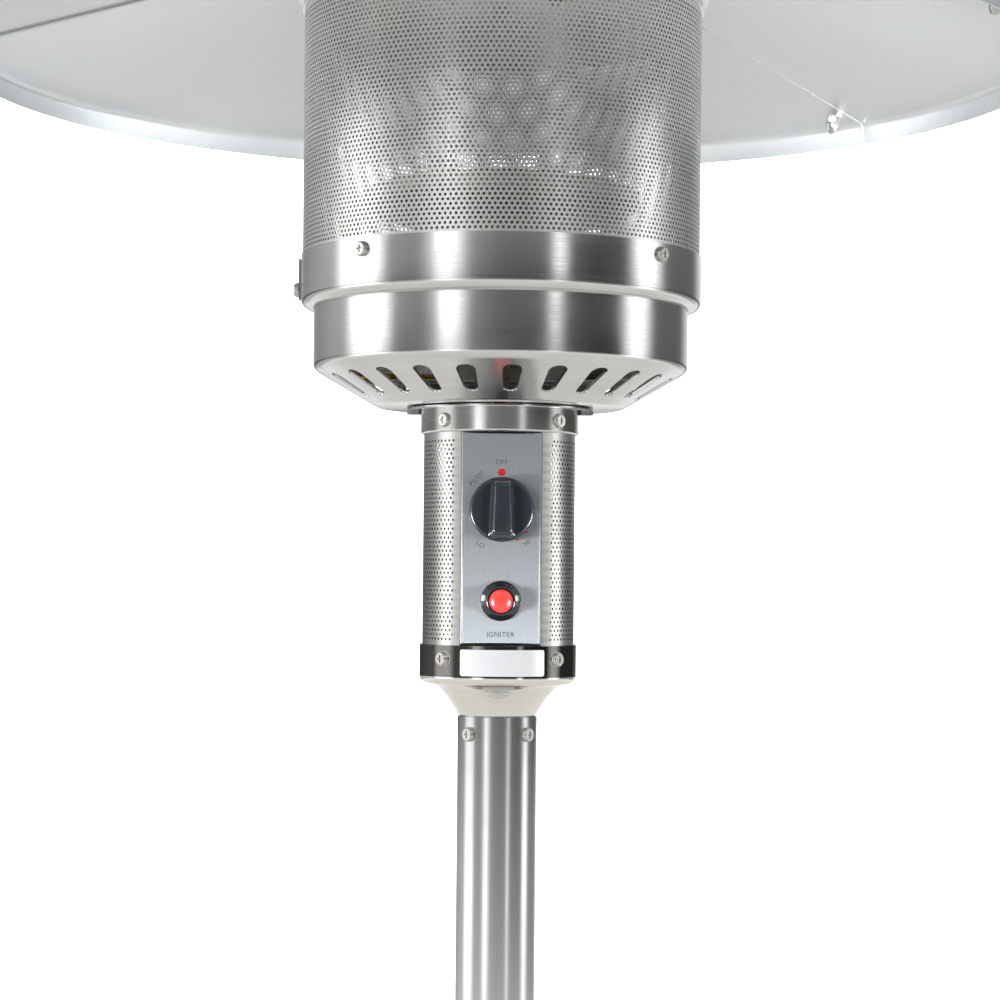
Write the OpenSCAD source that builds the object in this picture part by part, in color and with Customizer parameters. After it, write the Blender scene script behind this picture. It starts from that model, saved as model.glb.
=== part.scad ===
// Free-standing gas patio heater, in millimetres.
// +Z is up, the floor is z = 0, the post stands on the Z axis and the control panel faces -Y.

/* [Base] */
// Diameter of the round base pan
base_d = 460; // [440:5:520]
// Height of the base pan's top plate
base_h = 42; // [34:1:60]
// Sheet thickness of the base pan
base_wall = 2; // [1.5:0.1:3]
// Radius of the base pan's rounded shoulder
base_edge_r = 12; // [6:1:12]
// Width of the turned-in ring that stands on the floor
foot_ring_w = 24; // [14:1:40]
// Height of the raised centre that locates the tank housing
raise_h = 6; // [4:1:10]

/* [Wheels] */
// Diameter of a transport wheel over its tyre
wheel_d = 120; // [100:1:140]
// Width of a wheel
wheel_w = 30; // [24:1:36]
// Distance between the middles of the two wheels
wheel_track = 170; // [150:1:200]
// Radial thickness of the tyre
tyre_t = 11; // [8:1:15]
// Diameter of the wheel axle
axle_d = 10; // [8:0.5:14]
// Height of the tyres above the floor while the heater stands
wheel_lift = 2; // [1:0.5:6]
// Thickness of the wheel bracket's arms
arm_t = 4; // [3:0.5:6]

/* [Support legs] */
// Width of a support leg strap
leg_w = 40; // [30:1:50]
// Thickness of a support leg strap
leg_t = 5; // [4:0.5:7]
// Distance of the upright part of a leg from the axis
leg_r = 180; // [172:1:186]
// Height of the bend where a leg leans in to the post
knee_z = 560; // [540:5:600]
// Height of the underside of the post flange
flange_z = 735; // [720:5:750]
// Radius of the post flange
flange_r = 80; // [74:1:88]
// Thickness of the post flange
flange_t = 6; // [4:0.5:10]
// Length of the sleeve that holds the foot of the post
sleeve_h = 70; // [50:1:90]

/* [Tank housing] */
// Diameter of the tank housing
housing_d = 406; // [400:1:412]
// Sheet thickness of the tank housing and its lid
housing_wall = 1.2; // [0.8:0.1:2]
// Height of the top edge of the tank housing
housing_top = 770; // [760:5:820]
// Height that the lid's cone rises towards the post
lid_rise = 84; // [70:1:110]
// Depth of the lid's skirt over the housing
lid_skirt = 22; // [16:1:30]
// Length of the lid's neck around the post
neck_h = 26; // [16:1:40]
// Number of vent slots round the foot of the housing
vent_count = 12; // [6:1:16]

/* [Post] */
// Height of the top of the post
post_top = 1590; // [1450:10:1750]
// Diameter of the post
post_d = 60; // [56:0.5:62]
// Wall of the post tube
post_wall = 1.5; // [1.2:0.1:2]
// Shadow gap between the post and the lower collar
post_gap = 1.2; // [0.5:0.1:3]
// Depth of the insert inside the post
insert_depth = 60; // [40:1:90]

/* [Control column] */
// Radius of the lower collar
collar_r = 59.1; // [58.9:0.1:60.5]
// Height of the lower collar's flare
flare_h = 23.4; // [18:0.2:26]
// Radius where the flare meets the shoulder
flare_r = 52.6; // [50:0.2:53.4]
// Height of the lower collar's top edge above the post
collar_top = 52.9; // [50:0.1:54]
// Radius of the perforated shell
shell_r = 57.2; // [56.6:0.1:57.4]
// Sheet thickness of the perforated shell
shell_wall = 0.8; // [0.6:0.1:1.2]
// Radius of the upper collar
upper_r = 58.6; // [58.4:0.1:59.6]
// Height of the upper collar's lower edge above the post
upper_z = 211.4; // [208:0.2:214]
// Width of the flat control panel
panel_w = 59; // [56:0.5:60]
// Sheet thickness of the control panel
panel_t = 1.2; // [0.8:0.1:1.6]
// Distance of the panel's face from the axis
panel_face = 50; // [49.4:0.1:51]
// Slot between the panel's ends and the collars
panel_gap = 1; // [0.5:0.1:2]

/* [Controls] */
// Height of the knob's axis above the post
knob_z = 153; // [146:0.5:158]
// Diameter of the control knob
knob_d = 47.4; // [40:0.2:52]
// Thickness of the knob's skirt
knob_skirt = 7; // [5:0.5:10]
// Depth of the knob's grip bar in front of the skirt
grip_h = 14; // [8:0.5:18]
// Width of the grip bar at its front
grip_front = 10; // [8:0.5:12]
// Width of the grip bar on the skirt
grip_base = 17; // [15:0.5:20]
// Length of the grip bar at its front
grip_l = 36; // [30:0.5:37]
// Push travel of the knob
knob_travel = 4; // [2:0.5:5]
// Diameter of the valve stem
stem_d = 6; // [5:0.25:8]
// Height of the igniter's axis above the post
igniter_z = 86; // [78:0.5:90]
// Diameter of the igniter's bezel
bezel_d = 29.6; // [27:0.2:34]
// Diameter of the igniter's button
button_d = 17; // [14:0.2:18]
// Push travel of the igniter's button
button_travel = 6; // [3:0.5:7]

/* [Burner] */
// Height of the burner housing's bottom plate above the post
plate_z = 230.5; // [228:0.5:233]
// Radius of the bottom plate
plate_r = 93; // [88:0.5:98]
// Radius of the housing's wall
bowl_r = 141; // [137:0.5:141]
// Height of the vent cone's top above the post
cone_top = 258.7; // [254:0.5:264]
// Sheet thickness of the burner housing
bowl_wall = 1.2; // [0.8:0.1:1.6]
// Number of vent slots in the cone
slot_count = 24; // [12:1:24]
// Length of a vent slot along the cone
slot_l = 33; // [24:0.5:38]
// Width of a vent slot at its outer end
slot_outer = 15; // [10:0.5:17]
// Width of a vent slot at its inner end
slot_inner = 10; // [6:0.5:11]
// Height of the trim band's lower edge above the post
band_z = 304; // [298:0.5:308]
// Height of the trim band's upper edge above the post
band_top = 343.6; // [338:0.2:350]
// Radius of the trim band's rounded lower edge
band_edge_r = 7; // [3:0.5:7.5]
// Radius of the perforated emitter screen
screen_r = 149.4; // [149:0.1:151]
// Sheet thickness of the emitter screen
screen_wall = 0.8; // [0.6:0.1:1.2]
// Height of the emitter screen's top above the post
screen_top = 527; // [500:1:535]
// Radius of the burner head
head_r = 104; // [90:1:108]
// Height of the burner head's underside above the post
head_z = 376; // [366:1:384]
// Height of the burner head
head_h = 20; // [14:1:26]

/* [Reflector] */
// Radius of the reflector
reflector_r = 406.5; // [380:0.5:430]
// Height of the reflector's rim above the post
rim_z = 478.6; // [470:0.2:484]
// Depth of the turned-down rim
rim_h = 17; // [10:0.5:24]
// Rise of the reflector per unit of radius
reflector_slope = 0.275; // [0.25:0.005:0.32]
// Sheet thickness of the reflector panels
reflector_t = 1.2; // [0.8:0.1:1.6]
// Direction of the first seam, from +X towards +Y
seam_a = 38; // [0:0.5:71]
// Radius of the inner row of seam bolts
seam_bolt_in = 190; // [180:1:230]
// Distance of the outer seam bolts from the rim
seam_bolt_edge = 21; // [15:0.5:40]

/* [Hidden] */
$fn = 96;

// Clearances: between still pieces, between pieces that move, and of a shaft in its bore
still_gap = 0.2;
move_gap = 0.3;
shaft_gap = 0.06;
// How far a cutting tool runs past the surface that it cuts
cut = 1;
// Points in the arc of a rounded sheet edge
arc_steps = 6;

// Directions of the four screws round the column, of those round the trim band, of the bolts under
// the bottom plate and of the screws in the sleeve at the foot of the post
column_angles = [45, 135, 225, 315];
band_angles = [47.3, 137.3, 227.3, 317.3];
plate_angles = [85, 175, 355];
sleeve_angles = [30, 150, 270];

// Lengths of hole cutters: through one sheet, through a wall and through a lapped seam
thin_hole = 6;
wall_hole = 12;
seam_hole = 40;

// Bolts and screws: radius of the shank, radius and height of the head
m8 = [4, 7.5, 5.5];
m6 = [3, 5.8, 4];
pan5 = [2.3, 5.5, 3.6];

// Base
base_r = base_d / 2;
housing_r = housing_d / 2;
raise_r = housing_r - housing_wall - 3;
deck_z = base_h + raise_h;
foot_bolt_r = leg_r - leg_t / 2 - 20;

// Wheels
wheel_r = wheel_d / 2;
axle_r = axle_d / 2;
axle_z = wheel_lift + wheel_r;
wheel_inner = wheel_track / 2 - wheel_w / 2;
wheel_outer = wheel_track / 2 + wheel_w / 2;
wheel_front_gap = 6;
axle_y = sqrt(base_r * base_r - wheel_inner * wheel_inner) + wheel_front_gap + wheel_r;
saddle_z = 7;
saddle_h = min(24, base_h - base_edge_r - saddle_z);
saddle_t = 3;
arm_x = wheel_inner - 0.5 - arm_t;
saddle_bolt_a = 8;
cap_r = axle_r + 5;
cap_l = 8;
rim_r = wheel_r - tyre_t;
hub_r = axle_r + 9;
spoke_count = 6;

// Legs and flange
leg_angles = [90, 210, 330];
flange_bolt_r = flange_r - 20;
leg_end = 14;
leg_tip_r = flange_bolt_r - leg_end;
leg_bend_r = flange_bolt_r + 16;
post_r = post_d / 2;
sleeve_r = post_r + 4;
hose_hole_r = 18;
sleeve_screw_z = flange_z + 0.7 * sleeve_h;

// Housing and lid
housing_foot = base_h + move_gap;
lid_r = housing_r + still_gap + housing_wall / 2;
neck_r = post_r + move_gap + housing_wall / 2;
lid_screw_z = housing_top - lid_skirt / 2;
vent_z = base_h + 60;
vent_l = 60;
vent_w = 12;

// Post and control column
post_foot = flange_z + flange_t;
insert_r = post_r - post_wall - still_gap;
insert_wall = 1.6;
collar_wall = collar_r - shell_r - still_gap;
upper_wall = upper_r - shell_r - still_gap;
flare_power = 1.9;
flare_steps = 8;
shoulder_r = 5.4;
collar_screw_z = collar_top - 9.9;
upper_screw_z = upper_z + 7.6;
post_screw_z = -14;
shell_foot = collar_top - 18;
shell_top = plate_z - 3;
flange_out = 12;
flange_sheet = 1;
plate_bolt_r = upper_r + 6;
panel_z = collar_top + panel_gap;
panel_top = upper_z - panel_gap;
panel_lip = 8;
panel_bend = 4;

// Controls, with depths measured behind the panel's face
stem_r = stem_d / 2;
valve_front = 6;
valve_back = 38;
valve_w = 40;
valve_h = 52;
rotor_r = stem_r + 4;
rotor_l = 18;
rotor_front = valve_front + 1;
stem_tail = rotor_front + 10;
stem_flat = 0.75 * stem_r;
knob_r = knob_d / 2;
knob_gap = knob_travel + 0.6;
stem_nose = knob_gap + knob_skirt + 6;
bonnet_r = 9;
bracket_face = panel_face - valve_back;
bracket_t = 2;
bracket_w = 76;
bracket_z = knob_z - 41;
bracket_bolt_x = 30;
notch_w = 28;
notch_z = knob_z + valve_h / 2 + 8;
outlet_depth = 22;
outlet_y = -panel_face + outlet_depth;
side_z = knob_z + 12;
gas_r = 5;
gas_bend = 12;
inlet_r = 7.94;
inlet_l = 14;
button_r = button_d / 2;
bezel_r = bezel_d / 2;
bezel_t = 6;
bezel_rim = 1.5;
bezel_land = 1.6;
sleeve_out = button_r + move_gap + 1.7;
sleeve_l = 22;
button_proud = button_travel + 0.6;
button_l = 12;
plunger_r = 3;
piezo_l = 30;
nut_t = 4;

// Burner
plate_top = plate_z + bowl_wall;
cone_run = bowl_r - plate_r;
cone_rise = cone_top - plate_z;
cone_a = atan(cone_rise / cone_run);
slot_a = -88.1;
slot_cut = 16;
bowl_top = band_top - 4;
bowl_edge_r = 6;
band_wall = 1;
band_r = screen_r + still_gap + band_wall / 2;
band_screw_z = band_top - 8.5;
screen_foot = band_z + band_wall + 8;
jet_hole_r = 14;
mixer_r = 19;
mixer_wall = 1.5;
mixer_flange_r = 40;
mixer_flange_t = 2;
port_w = 16;
port_h = 22;
jet_z = plate_top + 8;
jet_l = 16;
jet_r = 6.5;
pilot_x = -(head_r + 9);
pilot_r = 5;
pilot_l = 26;
pilot_z = head_z - 34;
pilot_tube_r = 2;
pilot_hole_r = pilot_tube_r + 1;
pilot_bend = 7;
pilot_rise_x = -38;
pilot_run_z = plate_top + 20;
pilot_socket = 16;
shelf_z = pilot_z - 6;
tab_t = 2;
tab_w = 40;
tab_foot = 16;
shelf_out = 9;
rod_r = 2.2;
rod_l = 44;
rod_side = 13;
rod_tail = 14;
clip_w = 16;
clip_t = 1.5;
clip_foot = band_z + 6;
clip_top = band_top - 3;
clip_screw_z = band_z + 14;
clip_a = 180;
cap_lip = 1.6;
cap_skirt = 12;
cap_h = 12;
cap_sheet = 1.2;
cap_flange_r = screen_r + 6.2;
cap_top = screen_top + cap_h;

// Reflector: the sheet's middle line, its seams and the hub under it
panel_count = 5;
crease_z = rim_z + rim_h;
inner_r = 70;
lap_w = 30;
hub_rim = 160;
hub_flat = 62;
hub_t = 1.6;
stud_ring = 45;
stud_r = 4;
riser_a = 1;
seam_clear = 0.12;
lap_inset = 0.5;
lap_step = reflector_t + still_gap;
hub_bolt_r = hub_rim - 24;
bolt_rows = [hub_bolt_r, seam_bolt_in, reflector_r - seam_bolt_edge];
acorn_r = 6.2;
acorn_l = 15;
cover_r = 104;
cover_rise = 9;
sector_a = 360 / panel_count;

// Height of the middle of the reflector's sheet at a radius
function cone_z(r) = crease_z + (reflector_r - r) * reflector_slope + reflector_t / 2;
function hub_z(r) = cone_z(r) - reflector_t / 2 - hub_t / 2 - still_gap;
// Angle of the overlap at the inner edge of the reflector
lap_a = 2 * asin(lap_w / 2 / (reflector_r - rim_h));
hub_seat = hub_z(hub_flat);

// Sheet outlines
function unit(v) = v / norm(v);
function left_of(a, b) = let(u = unit(b - a)) [-u[1], u[0]];
function mitre(p, i, d) =
    let(last = len(p) - 1,
        n1 = i > 0 ? left_of(p[i - 1], p[i]) : left_of(p[0], p[1]),
        n2 = i < last ? left_of(p[i], p[i + 1]) : n1)
    p[i] + d * (n1 + n2) / (1 + n1 * n2);
function turn(a) = a > 180 ? a - 360 : a < -180 ? a + 360 : a;
// Arc of radius r that rounds the corner b between a and c
function corner(a, b, c, r) =
    let(u = unit(a - b),
        v = unit(c - b),
        half = acos(u * v) / 2,
        middle = b + unit(u + v) * r / sin(half),
        s = b + u * r / tan(half) - middle,
        e = b + v * r / tan(half) - middle,
        from = atan2(s[1], s[0]),
        sweep = turn(atan2(e[1], e[0]) - from))
    [for (k = [0 : arc_steps])
        middle + r * [cos(from + sweep * k / arc_steps), sin(from + sweep * k / arc_steps)]];

// Strip of sheet of thickness t along the middle line p
module sheet(p, t) {
    last = len(p) - 1;
    polygon(concat(
        [for (i = [0 : last]) mitre(p, i, t / 2)],
        [for (i = [last : -1 : 0]) mitre(p, i, -t / 2)]));
}

// Ring of square section round the Z axis
module ring(r_in, r_out, z0, z1) {
    rotate_extrude() translate([r_in, z0]) square([r_out - r_in, z1 - z0]);
}

// Puts a thing at the head, with z measured from the top of the post
module at_head() {
    translate([0, 0, post_top]) children();
}

// Drawing plane of the control panel: x, height above the post, distance out of the panel
module on_panel(z = 0, out = 0) {
    translate([0, -panel_face - out, post_top + z]) rotate([90, 0, 0]) children();
}

// Points +Z of a thing outwards along a direction, at a radius and height
module radial(a, r, z) {
    rotate([0, 0, a]) translate([r, 0, z]) rotate([0, 90, 0]) children();
}

// Pan-head screw or round-head bolt, with its head above z = 0
module pan_screw(s, shank_l) {
    rotate_extrude()
        polygon([[0, -shank_l], [s[0], -shank_l], [s[0], 0], [s[1], 0], [s[1], 0.5 * s[2]],
            [0.75 * s[1], s[2]], [0, s[2]]]);
}

// Hexagon bolt, with its head above z = 0
module hex_bolt(s, shank_l) {
    translate([0, 0, -shank_l]) cylinder(r = s[0], h = shank_l);
    cylinder(r = s[1], h = s[2], $fn = 6);
}

// Hexagon nut on a shank, standing on z = 0
module hex_nut(s) {
    difference() {
        cylinder(r = s[1], h = s[2], $fn = 6);
        translate([0, 0, -cut]) cylinder(r = s[0] + still_gap / 2, h = s[2] + 2 * cut);
    }
}

// Hole for a screw along Z
module screw_hole(s, depth) {
    cylinder(r = s[0] + still_gap, h = depth, center = true);
}

// Bent tube: each step is a straight length and the direction of the quarter bend after it
module bent_tube(steps, r, bend, i = 0) {
    cylinder(r = r, h = steps[i][0]);
    if (i < len(steps) - 1)
        translate([0, 0, steps[i][0]]) rotate([0, 0, steps[i][1]]) {
            translate([bend, 0, 0]) mirror([1, 0, 0]) rotate([90, 0, 0])
                rotate_extrude(angle = 90) translate([bend, 0]) circle(r = r);
            translate([bend, 0, bend]) rotate([0, 90, 0]) bent_tube(steps, r, bend, i + 1);
        }
}

// Places of the feet of the legs on the deck and of their tips under the flange
module at_leg_bolts(r) {
    for (a = leg_angles)
        rotate([0, 0, a]) translate([r, 0, 0]) children();
}

// Base

module base_pan() {
    shoulder = corner([base_r - base_wall / 2, 0], [base_r - base_wall / 2, base_h - base_wall / 2],
        [raise_r, base_h - base_wall / 2], base_edge_r);
    profile = concat(
        [[base_r - foot_ring_w, base_wall / 2], [base_r - base_wall / 2, base_wall / 2]],
        shoulder,
        [[raise_r - base_wall / 2, base_h - base_wall / 2],
            [raise_r - base_wall / 2, deck_z - base_wall / 2], [0, deck_z - base_wall / 2]]);
    color("gainsboro")
    difference() {
        rotate_extrude() sheet(profile, base_wall);
        at_leg_bolts(foot_bolt_r) translate([0, 0, deck_z]) screw_hole(m8, 4 * base_wall);
        for (s = [-1, 1])
            radial(90 + s * saddle_bolt_a, base_r, saddle_z + saddle_h / 2)
                screw_hole(m8, 6 * base_wall);
    }
}

module wheel_bracket() {
    saddle_r = base_r + still_gap;
    color("dimgray")
    difference() {
        union() {
            intersection() {
                ring(saddle_r, saddle_r + saddle_t, saddle_z, saddle_z + saddle_h);
                translate([-arm_x - arm_t, 0, 0]) cube([2 * (arm_x + arm_t), base_d, base_h]);
            }
            difference() {
                for (s = [-1, 1])
                    translate([s * (arm_x + arm_t / 2), 0, 0]) rotate([90, 0, 90])
                        linear_extrude(arm_t, center = true) {
                            polygon([[base_r / 2, saddle_z], [base_r, saddle_z],
                                [axle_y + axle_r, axle_z - 2 * axle_r],
                                [axle_y, axle_z + 2 * axle_r], [base_r / 2, saddle_z + saddle_h]]);
                            translate([axle_y, axle_z]) circle(r = 2 * axle_r);
                        }
                cylinder(r = saddle_r + saddle_t / 2, h = 4 * wheel_d, center = true);
            }
        }
        translate([0, axle_y, axle_z]) rotate([0, 90, 0])
            cylinder(r = axle_r + shaft_gap, h = 2 * wheel_track, center = true);
        for (s = [-1, 1])
            radial(90 + s * saddle_bolt_a, base_r, saddle_z + saddle_h / 2)
                screw_hole(m8, 6 * saddle_t);
    }
}

module wheel_axle() {
    reach = wheel_outer + cap_l - 2;
    color("silver")
    translate([0, axle_y, axle_z]) rotate([0, 90, 0])
        cylinder(r = axle_r, h = 2 * reach, center = true);
}

// Push-on cap at each end of the axle
module axle_caps() {
    color("dimgray")
    for (s = [0, 1])
        mirror([s, 0, 0]) translate([wheel_outer + move_gap, axle_y, axle_z]) rotate([0, 90, 0])
            difference() {
                rotate_extrude()
                    polygon([[0, 0], [cap_r, 0], [cap_r, cap_l / 2], [0.8 * cap_r, 0.85 * cap_l],
                        [0.4 * cap_r, cap_l], [0, cap_l]]);
                translate([0, 0, -cut]) cylinder(r = axle_r + shaft_gap, h = cap_l - 2 + cut);
            }
}

// Moulded wheel: hub, spokes and rim
module wheel_body(x) {
    web = wheel_w / 3;
    color("darkslategray")
    translate([x, axle_y, axle_z]) rotate([0, 90, 0])
        difference() {
            union() {
                cylinder(r = hub_r, h = wheel_w, center = true);
                ring(rim_r - 4, rim_r, -wheel_w / 2, wheel_w / 2);
                for (i = [0 : spoke_count - 1])
                    rotate([0, 0, i * 360 / spoke_count]) translate([hub_r - 2, -4, -web / 2])
                        cube([rim_r - hub_r, 8, web]);
            }
            cylinder(r = axle_r + shaft_gap, h = 2 * wheel_w, center = true);
        }
}

// Solid rubber tyre with a rounded tread
module tyre(x) {
    crown = wheel_w / 5;
    color("black")
    translate([x, axle_y, axle_z]) rotate([0, 90, 0])
        rotate_extrude()
            polygon([[rim_r + still_gap / 4, -wheel_w / 2], [wheel_r - crown / 2, -wheel_w / 2],
                [wheel_r, -wheel_w / 2 + crown], [wheel_r, wheel_w / 2 - crown],
                [wheel_r - crown / 2, wheel_w / 2], [rim_r + still_gap / 4, wheel_w / 2]]);
}

module wheel_left() { wheel_body(-wheel_track / 2); }
module tyre_left() { tyre(-wheel_track / 2); }
module wheel_right() { wheel_body(wheel_track / 2); }
module tyre_right() { tyre(wheel_track / 2); }

// Strap from the deck up to the underside of the post flange
module support_leg(i) {
    line = [[foot_bolt_r - leg_end, deck_z + leg_t / 2], [leg_r, deck_z + leg_t / 2], [leg_r, knee_z],
        [leg_bend_r, flange_z - leg_t / 2], [leg_tip_r, flange_z - leg_t / 2]];
    color("silver")
    rotate([0, 0, leg_angles[i]])
        difference() {
            rotate([90, 0, 0]) linear_extrude(leg_w, center = true) sheet(line, leg_t);
            translate([foot_bolt_r, 0, deck_z]) screw_hole(m8, 6 * leg_t);
            translate([flange_bolt_r, 0, flange_z]) screw_hole(m8, 6 * leg_t);
        }
}

module support_leg_1() { support_leg(0); }
module support_leg_2() { support_leg(1); }
module support_leg_3() { support_leg(2); }

// Hexagon bolts and nuts of the legs, the flange and the wheel bracket
module base_bolts() {
    foot_grip = leg_t + base_wall;
    tip_grip = leg_t + flange_t;
    saddle_grip = saddle_t + still_gap + base_wall;
    color("silver") {
        at_leg_bolts(foot_bolt_r) {
            translate([0, 0, deck_z + leg_t]) hex_bolt(m8, foot_grip + m8[2] + 2);
            translate([0, 0, deck_z - base_wall - m8[2]]) hex_nut(m8);
        }
        at_leg_bolts(flange_bolt_r) {
            translate([0, 0, flange_z + flange_t]) hex_bolt(m8, tip_grip + m8[2] + 2);
            translate([0, 0, flange_z - leg_t - m8[2]]) hex_nut(m8);
        }
        for (s = [-1, 1])
            radial(90 + s * saddle_bolt_a, base_r - base_wall, saddle_z + saddle_h / 2) {
                translate([0, 0, saddle_grip]) hex_bolt(m8, saddle_grip + m8[2] + 2);
                translate([0, 0, -m8[2] - still_gap]) hex_nut(m8);
            }
    }
}

// Plate on the legs, with the sleeve that holds the foot of the post
module post_flange() {
    color("silver")
    difference() {
        union() {
            ring(hose_hole_r, flange_r, flange_z, flange_z + flange_t);
            ring(post_r + still_gap / 2, sleeve_r, flange_z + flange_t / 2, flange_z + sleeve_h);
        }
        at_leg_bolts(flange_bolt_r) translate([0, 0, flange_z]) screw_hole(m8, 4 * flange_t);
        for (a = sleeve_angles)
            radial(a, sleeve_r, sleeve_screw_z) screw_hole(pan5, wall_hole);
    }
}

// Tank housing and its lid, which lift together along the post

module tank_housing() {
    hem = 3 * housing_wall;
    color("gainsboro")
    difference() {
        union() {
            ring(housing_r - housing_wall, housing_r, housing_foot, housing_top);
            ring(housing_r - housing_wall - 1, housing_r, housing_foot, housing_foot + hem);
        }
        for (i = [0 : vent_count - 1])
            radial(i * 360 / vent_count, housing_r, vent_z) linear_extrude(wall_hole, center = true) {
                square([vent_w, vent_l - vent_w], center = true);
                for (s = [-1, 1])
                    translate([0, s * (vent_l - vent_w) / 2]) circle(d = vent_w);
            }
        for (a = column_angles)
            radial(a, housing_r, lid_screw_z) screw_hole(pan5, wall_hole);
    }
}

module housing_lid() {
    cone_foot = housing_top + 4;
    line = concat(
        [[lid_r, housing_top - lid_skirt]],
        corner([lid_r, housing_top - lid_skirt], [lid_r, cone_foot], [neck_r, cone_foot + lid_rise], 3),
        corner([lid_r, cone_foot], [neck_r, cone_foot + lid_rise],
            [neck_r, cone_foot + lid_rise + neck_h], 4),
        [[neck_r, cone_foot + lid_rise + neck_h]]);
    color("gainsboro")
    difference() {
        rotate_extrude() sheet(line, housing_wall);
        for (a = column_angles)
            radial(a, housing_r, lid_screw_z) screw_hole(pan5, wall_hole);
    }
}

module lid_screws() {
    color("silver")
    for (a = column_angles)
        radial(a, lid_r + housing_wall / 2, lid_screw_z) pan_screw(pan5, 2 * housing_wall + 4);
}

// Post

module post() {
    color("gainsboro")
    difference() {
        ring(post_r - post_wall, post_r, post_foot, post_top - post_gap);
        for (a = column_angles)
            radial(a, post_r, post_top + post_screw_z) screw_hole(pan5, wall_hole);
        for (a = sleeve_angles)
            radial(a, post_r, sleeve_screw_z) screw_hole(pan5, wall_hole);
    }
}

// Screws of the sleeve at the foot of the post and of the insert in its top
module post_screws() {
    color("silver") {
        for (a = column_angles)
            radial(a, post_r, post_top + post_screw_z) pan_screw(pan5, 6);
        for (a = sleeve_angles)
            radial(a, sleeve_r, sleeve_screw_z) pan_screw(pan5, 8);
    }
}

// Tube in the top of the post that carries the lower collar
module post_insert() {
    color("silver")
    at_head()
        difference() {
            ring(insert_r - insert_wall, insert_r, -insert_depth, flare_h / 2);
            for (a = column_angles)
                radial(a, insert_r, post_screw_z) screw_hole(pan5, wall_hole);
        }
}

// Control column

module lower_collar() {
    wall_r = collar_r - collar_wall / 2;
    foot_r = insert_r + still_gap + collar_wall / 2;
    shoulder = [flare_r, flare_h + collar_wall / 2];
    flare = [for (k = [0 : flare_steps])
        let(t = k / flare_steps)
        [foot_r + (shoulder[0] - foot_r) * t, shoulder[1] * (1 - pow(1 - t, flare_power))]];
    line = concat(flare,
        corner(shoulder, [wall_r, shoulder[1]], [wall_r, collar_top], shoulder_r),
        [[wall_r, collar_top]]);
    color("gainsboro")
    at_head()
        difference() {
            rotate_extrude() sheet(line, collar_wall);
            for (a = column_angles)
                radial(a, collar_r, collar_screw_z) screw_hole(pan5, wall_hole);
            mirror([0, 0, 1]) cylinder(r = collar_r, h = 6 * collar_wall);
        }
}

module control_shell() {
    opening = panel_w + 2 * move_gap;
    color("silver")
    at_head()
        difference() {
            ring(shell_r - shell_wall, shell_r, shell_foot, shell_top);
            translate([-opening / 2, -2 * shell_r, collar_top + panel_gap / 2])
                cube([opening, 2 * shell_r, upper_z - collar_top - panel_gap]);
            for (a = column_angles) {
                radial(a, shell_r, collar_screw_z) screw_hole(pan5, wall_hole);
                radial(a, shell_r, upper_screw_z) screw_hole(pan5, wall_hole);
            }
        }
}

// Outline of the panel across its height: a flat front with bends to its two sides
module channel(w, bend) {
    translate([-w / 2, -panel_lip]) square([w, panel_lip - bend]);
    translate([-w / 2 + bend, -panel_lip]) square([w - 2 * bend, panel_lip]);
    for (s = [-1, 1]) translate([s * (w / 2 - bend), -bend]) circle(r = bend);
}

// Flat panel with its sides folded back into the shell
module control_panel() {
    color("silver")
    on_panel()
        difference() {
            translate([0, panel_top, 0]) rotate([90, 0, 0]) linear_extrude(panel_top - panel_z)
                difference() {
                    channel(panel_w, panel_bend);
                    translate([0, -panel_t]) channel(panel_w - 2 * panel_t, panel_bend - panel_t);
                }
            translate([0, knob_z, 0]) cylinder(r = bonnet_r + still_gap, h = 6 * panel_t, center = true);
            translate([0, igniter_z, 0])
                cylinder(r = sleeve_out + still_gap, h = 6 * panel_t, center = true);
        }
}

// Pan-head screws of the two collars, the trim band and the band's clip
module collar_screws() {
    color("silver")
    at_head() {
        for (a = column_angles) {
            radial(a, collar_r, collar_screw_z) pan_screw(pan5, 5);
            radial(a, upper_r, upper_screw_z) pan_screw(pan5, 5);
        }
        for (a = band_angles)
            radial(a, band_r + band_wall / 2, band_screw_z) pan_screw(pan5, band_r - bowl_r + 6);
        radial(clip_a, band_r + band_wall / 2 + clip_t + still_gap, clip_screw_z)
            pan_screw(pan5, band_r - bowl_r + 6);
    }
}

module upper_collar() {
    color("gainsboro")
    at_head()
        difference() {
            union() {
                ring(upper_r - upper_wall, upper_r, upper_z, plate_z);
                ring(upper_r - upper_wall, upper_r + flange_out, plate_z - flange_sheet, plate_z);
            }
            for (a = column_angles)
                radial(a, upper_r, upper_screw_z) screw_hole(pan5, wall_hole);
            for (a = plate_angles)
                rotate([0, 0, a]) translate([plate_bolt_r, 0, plate_z]) screw_hole(m6, wall_hole);
        }
}

// Bolts under the burner's bottom plate: three round the collar, two through the mixer's foot
module burner_bolts() {
    collar_grip = flange_sheet + bowl_wall;
    mixer_grip = bracket_t + bowl_wall + mixer_flange_t;
    color("silver")
    at_head() {
        for (a = plate_angles)
            rotate([0, 0, a]) translate([plate_bolt_r, 0, 0]) {
                translate([0, 0, plate_z - flange_sheet]) mirror([0, 0, 1])
                    hex_bolt(m6, collar_grip + m6[2] + 2);
                translate([0, 0, plate_top]) hex_nut(m6);
            }
        for (s = [-1, 1])
            translate([s * bracket_bolt_x, 0, 0]) {
                translate([0, 0, plate_z - bracket_t]) mirror([0, 0, 1])
                    hex_bolt(m6, mixer_grip + m6[2] + 2);
                translate([0, 0, plate_top + mixer_flange_t]) hex_nut(m6);
            }
    }
}

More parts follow.
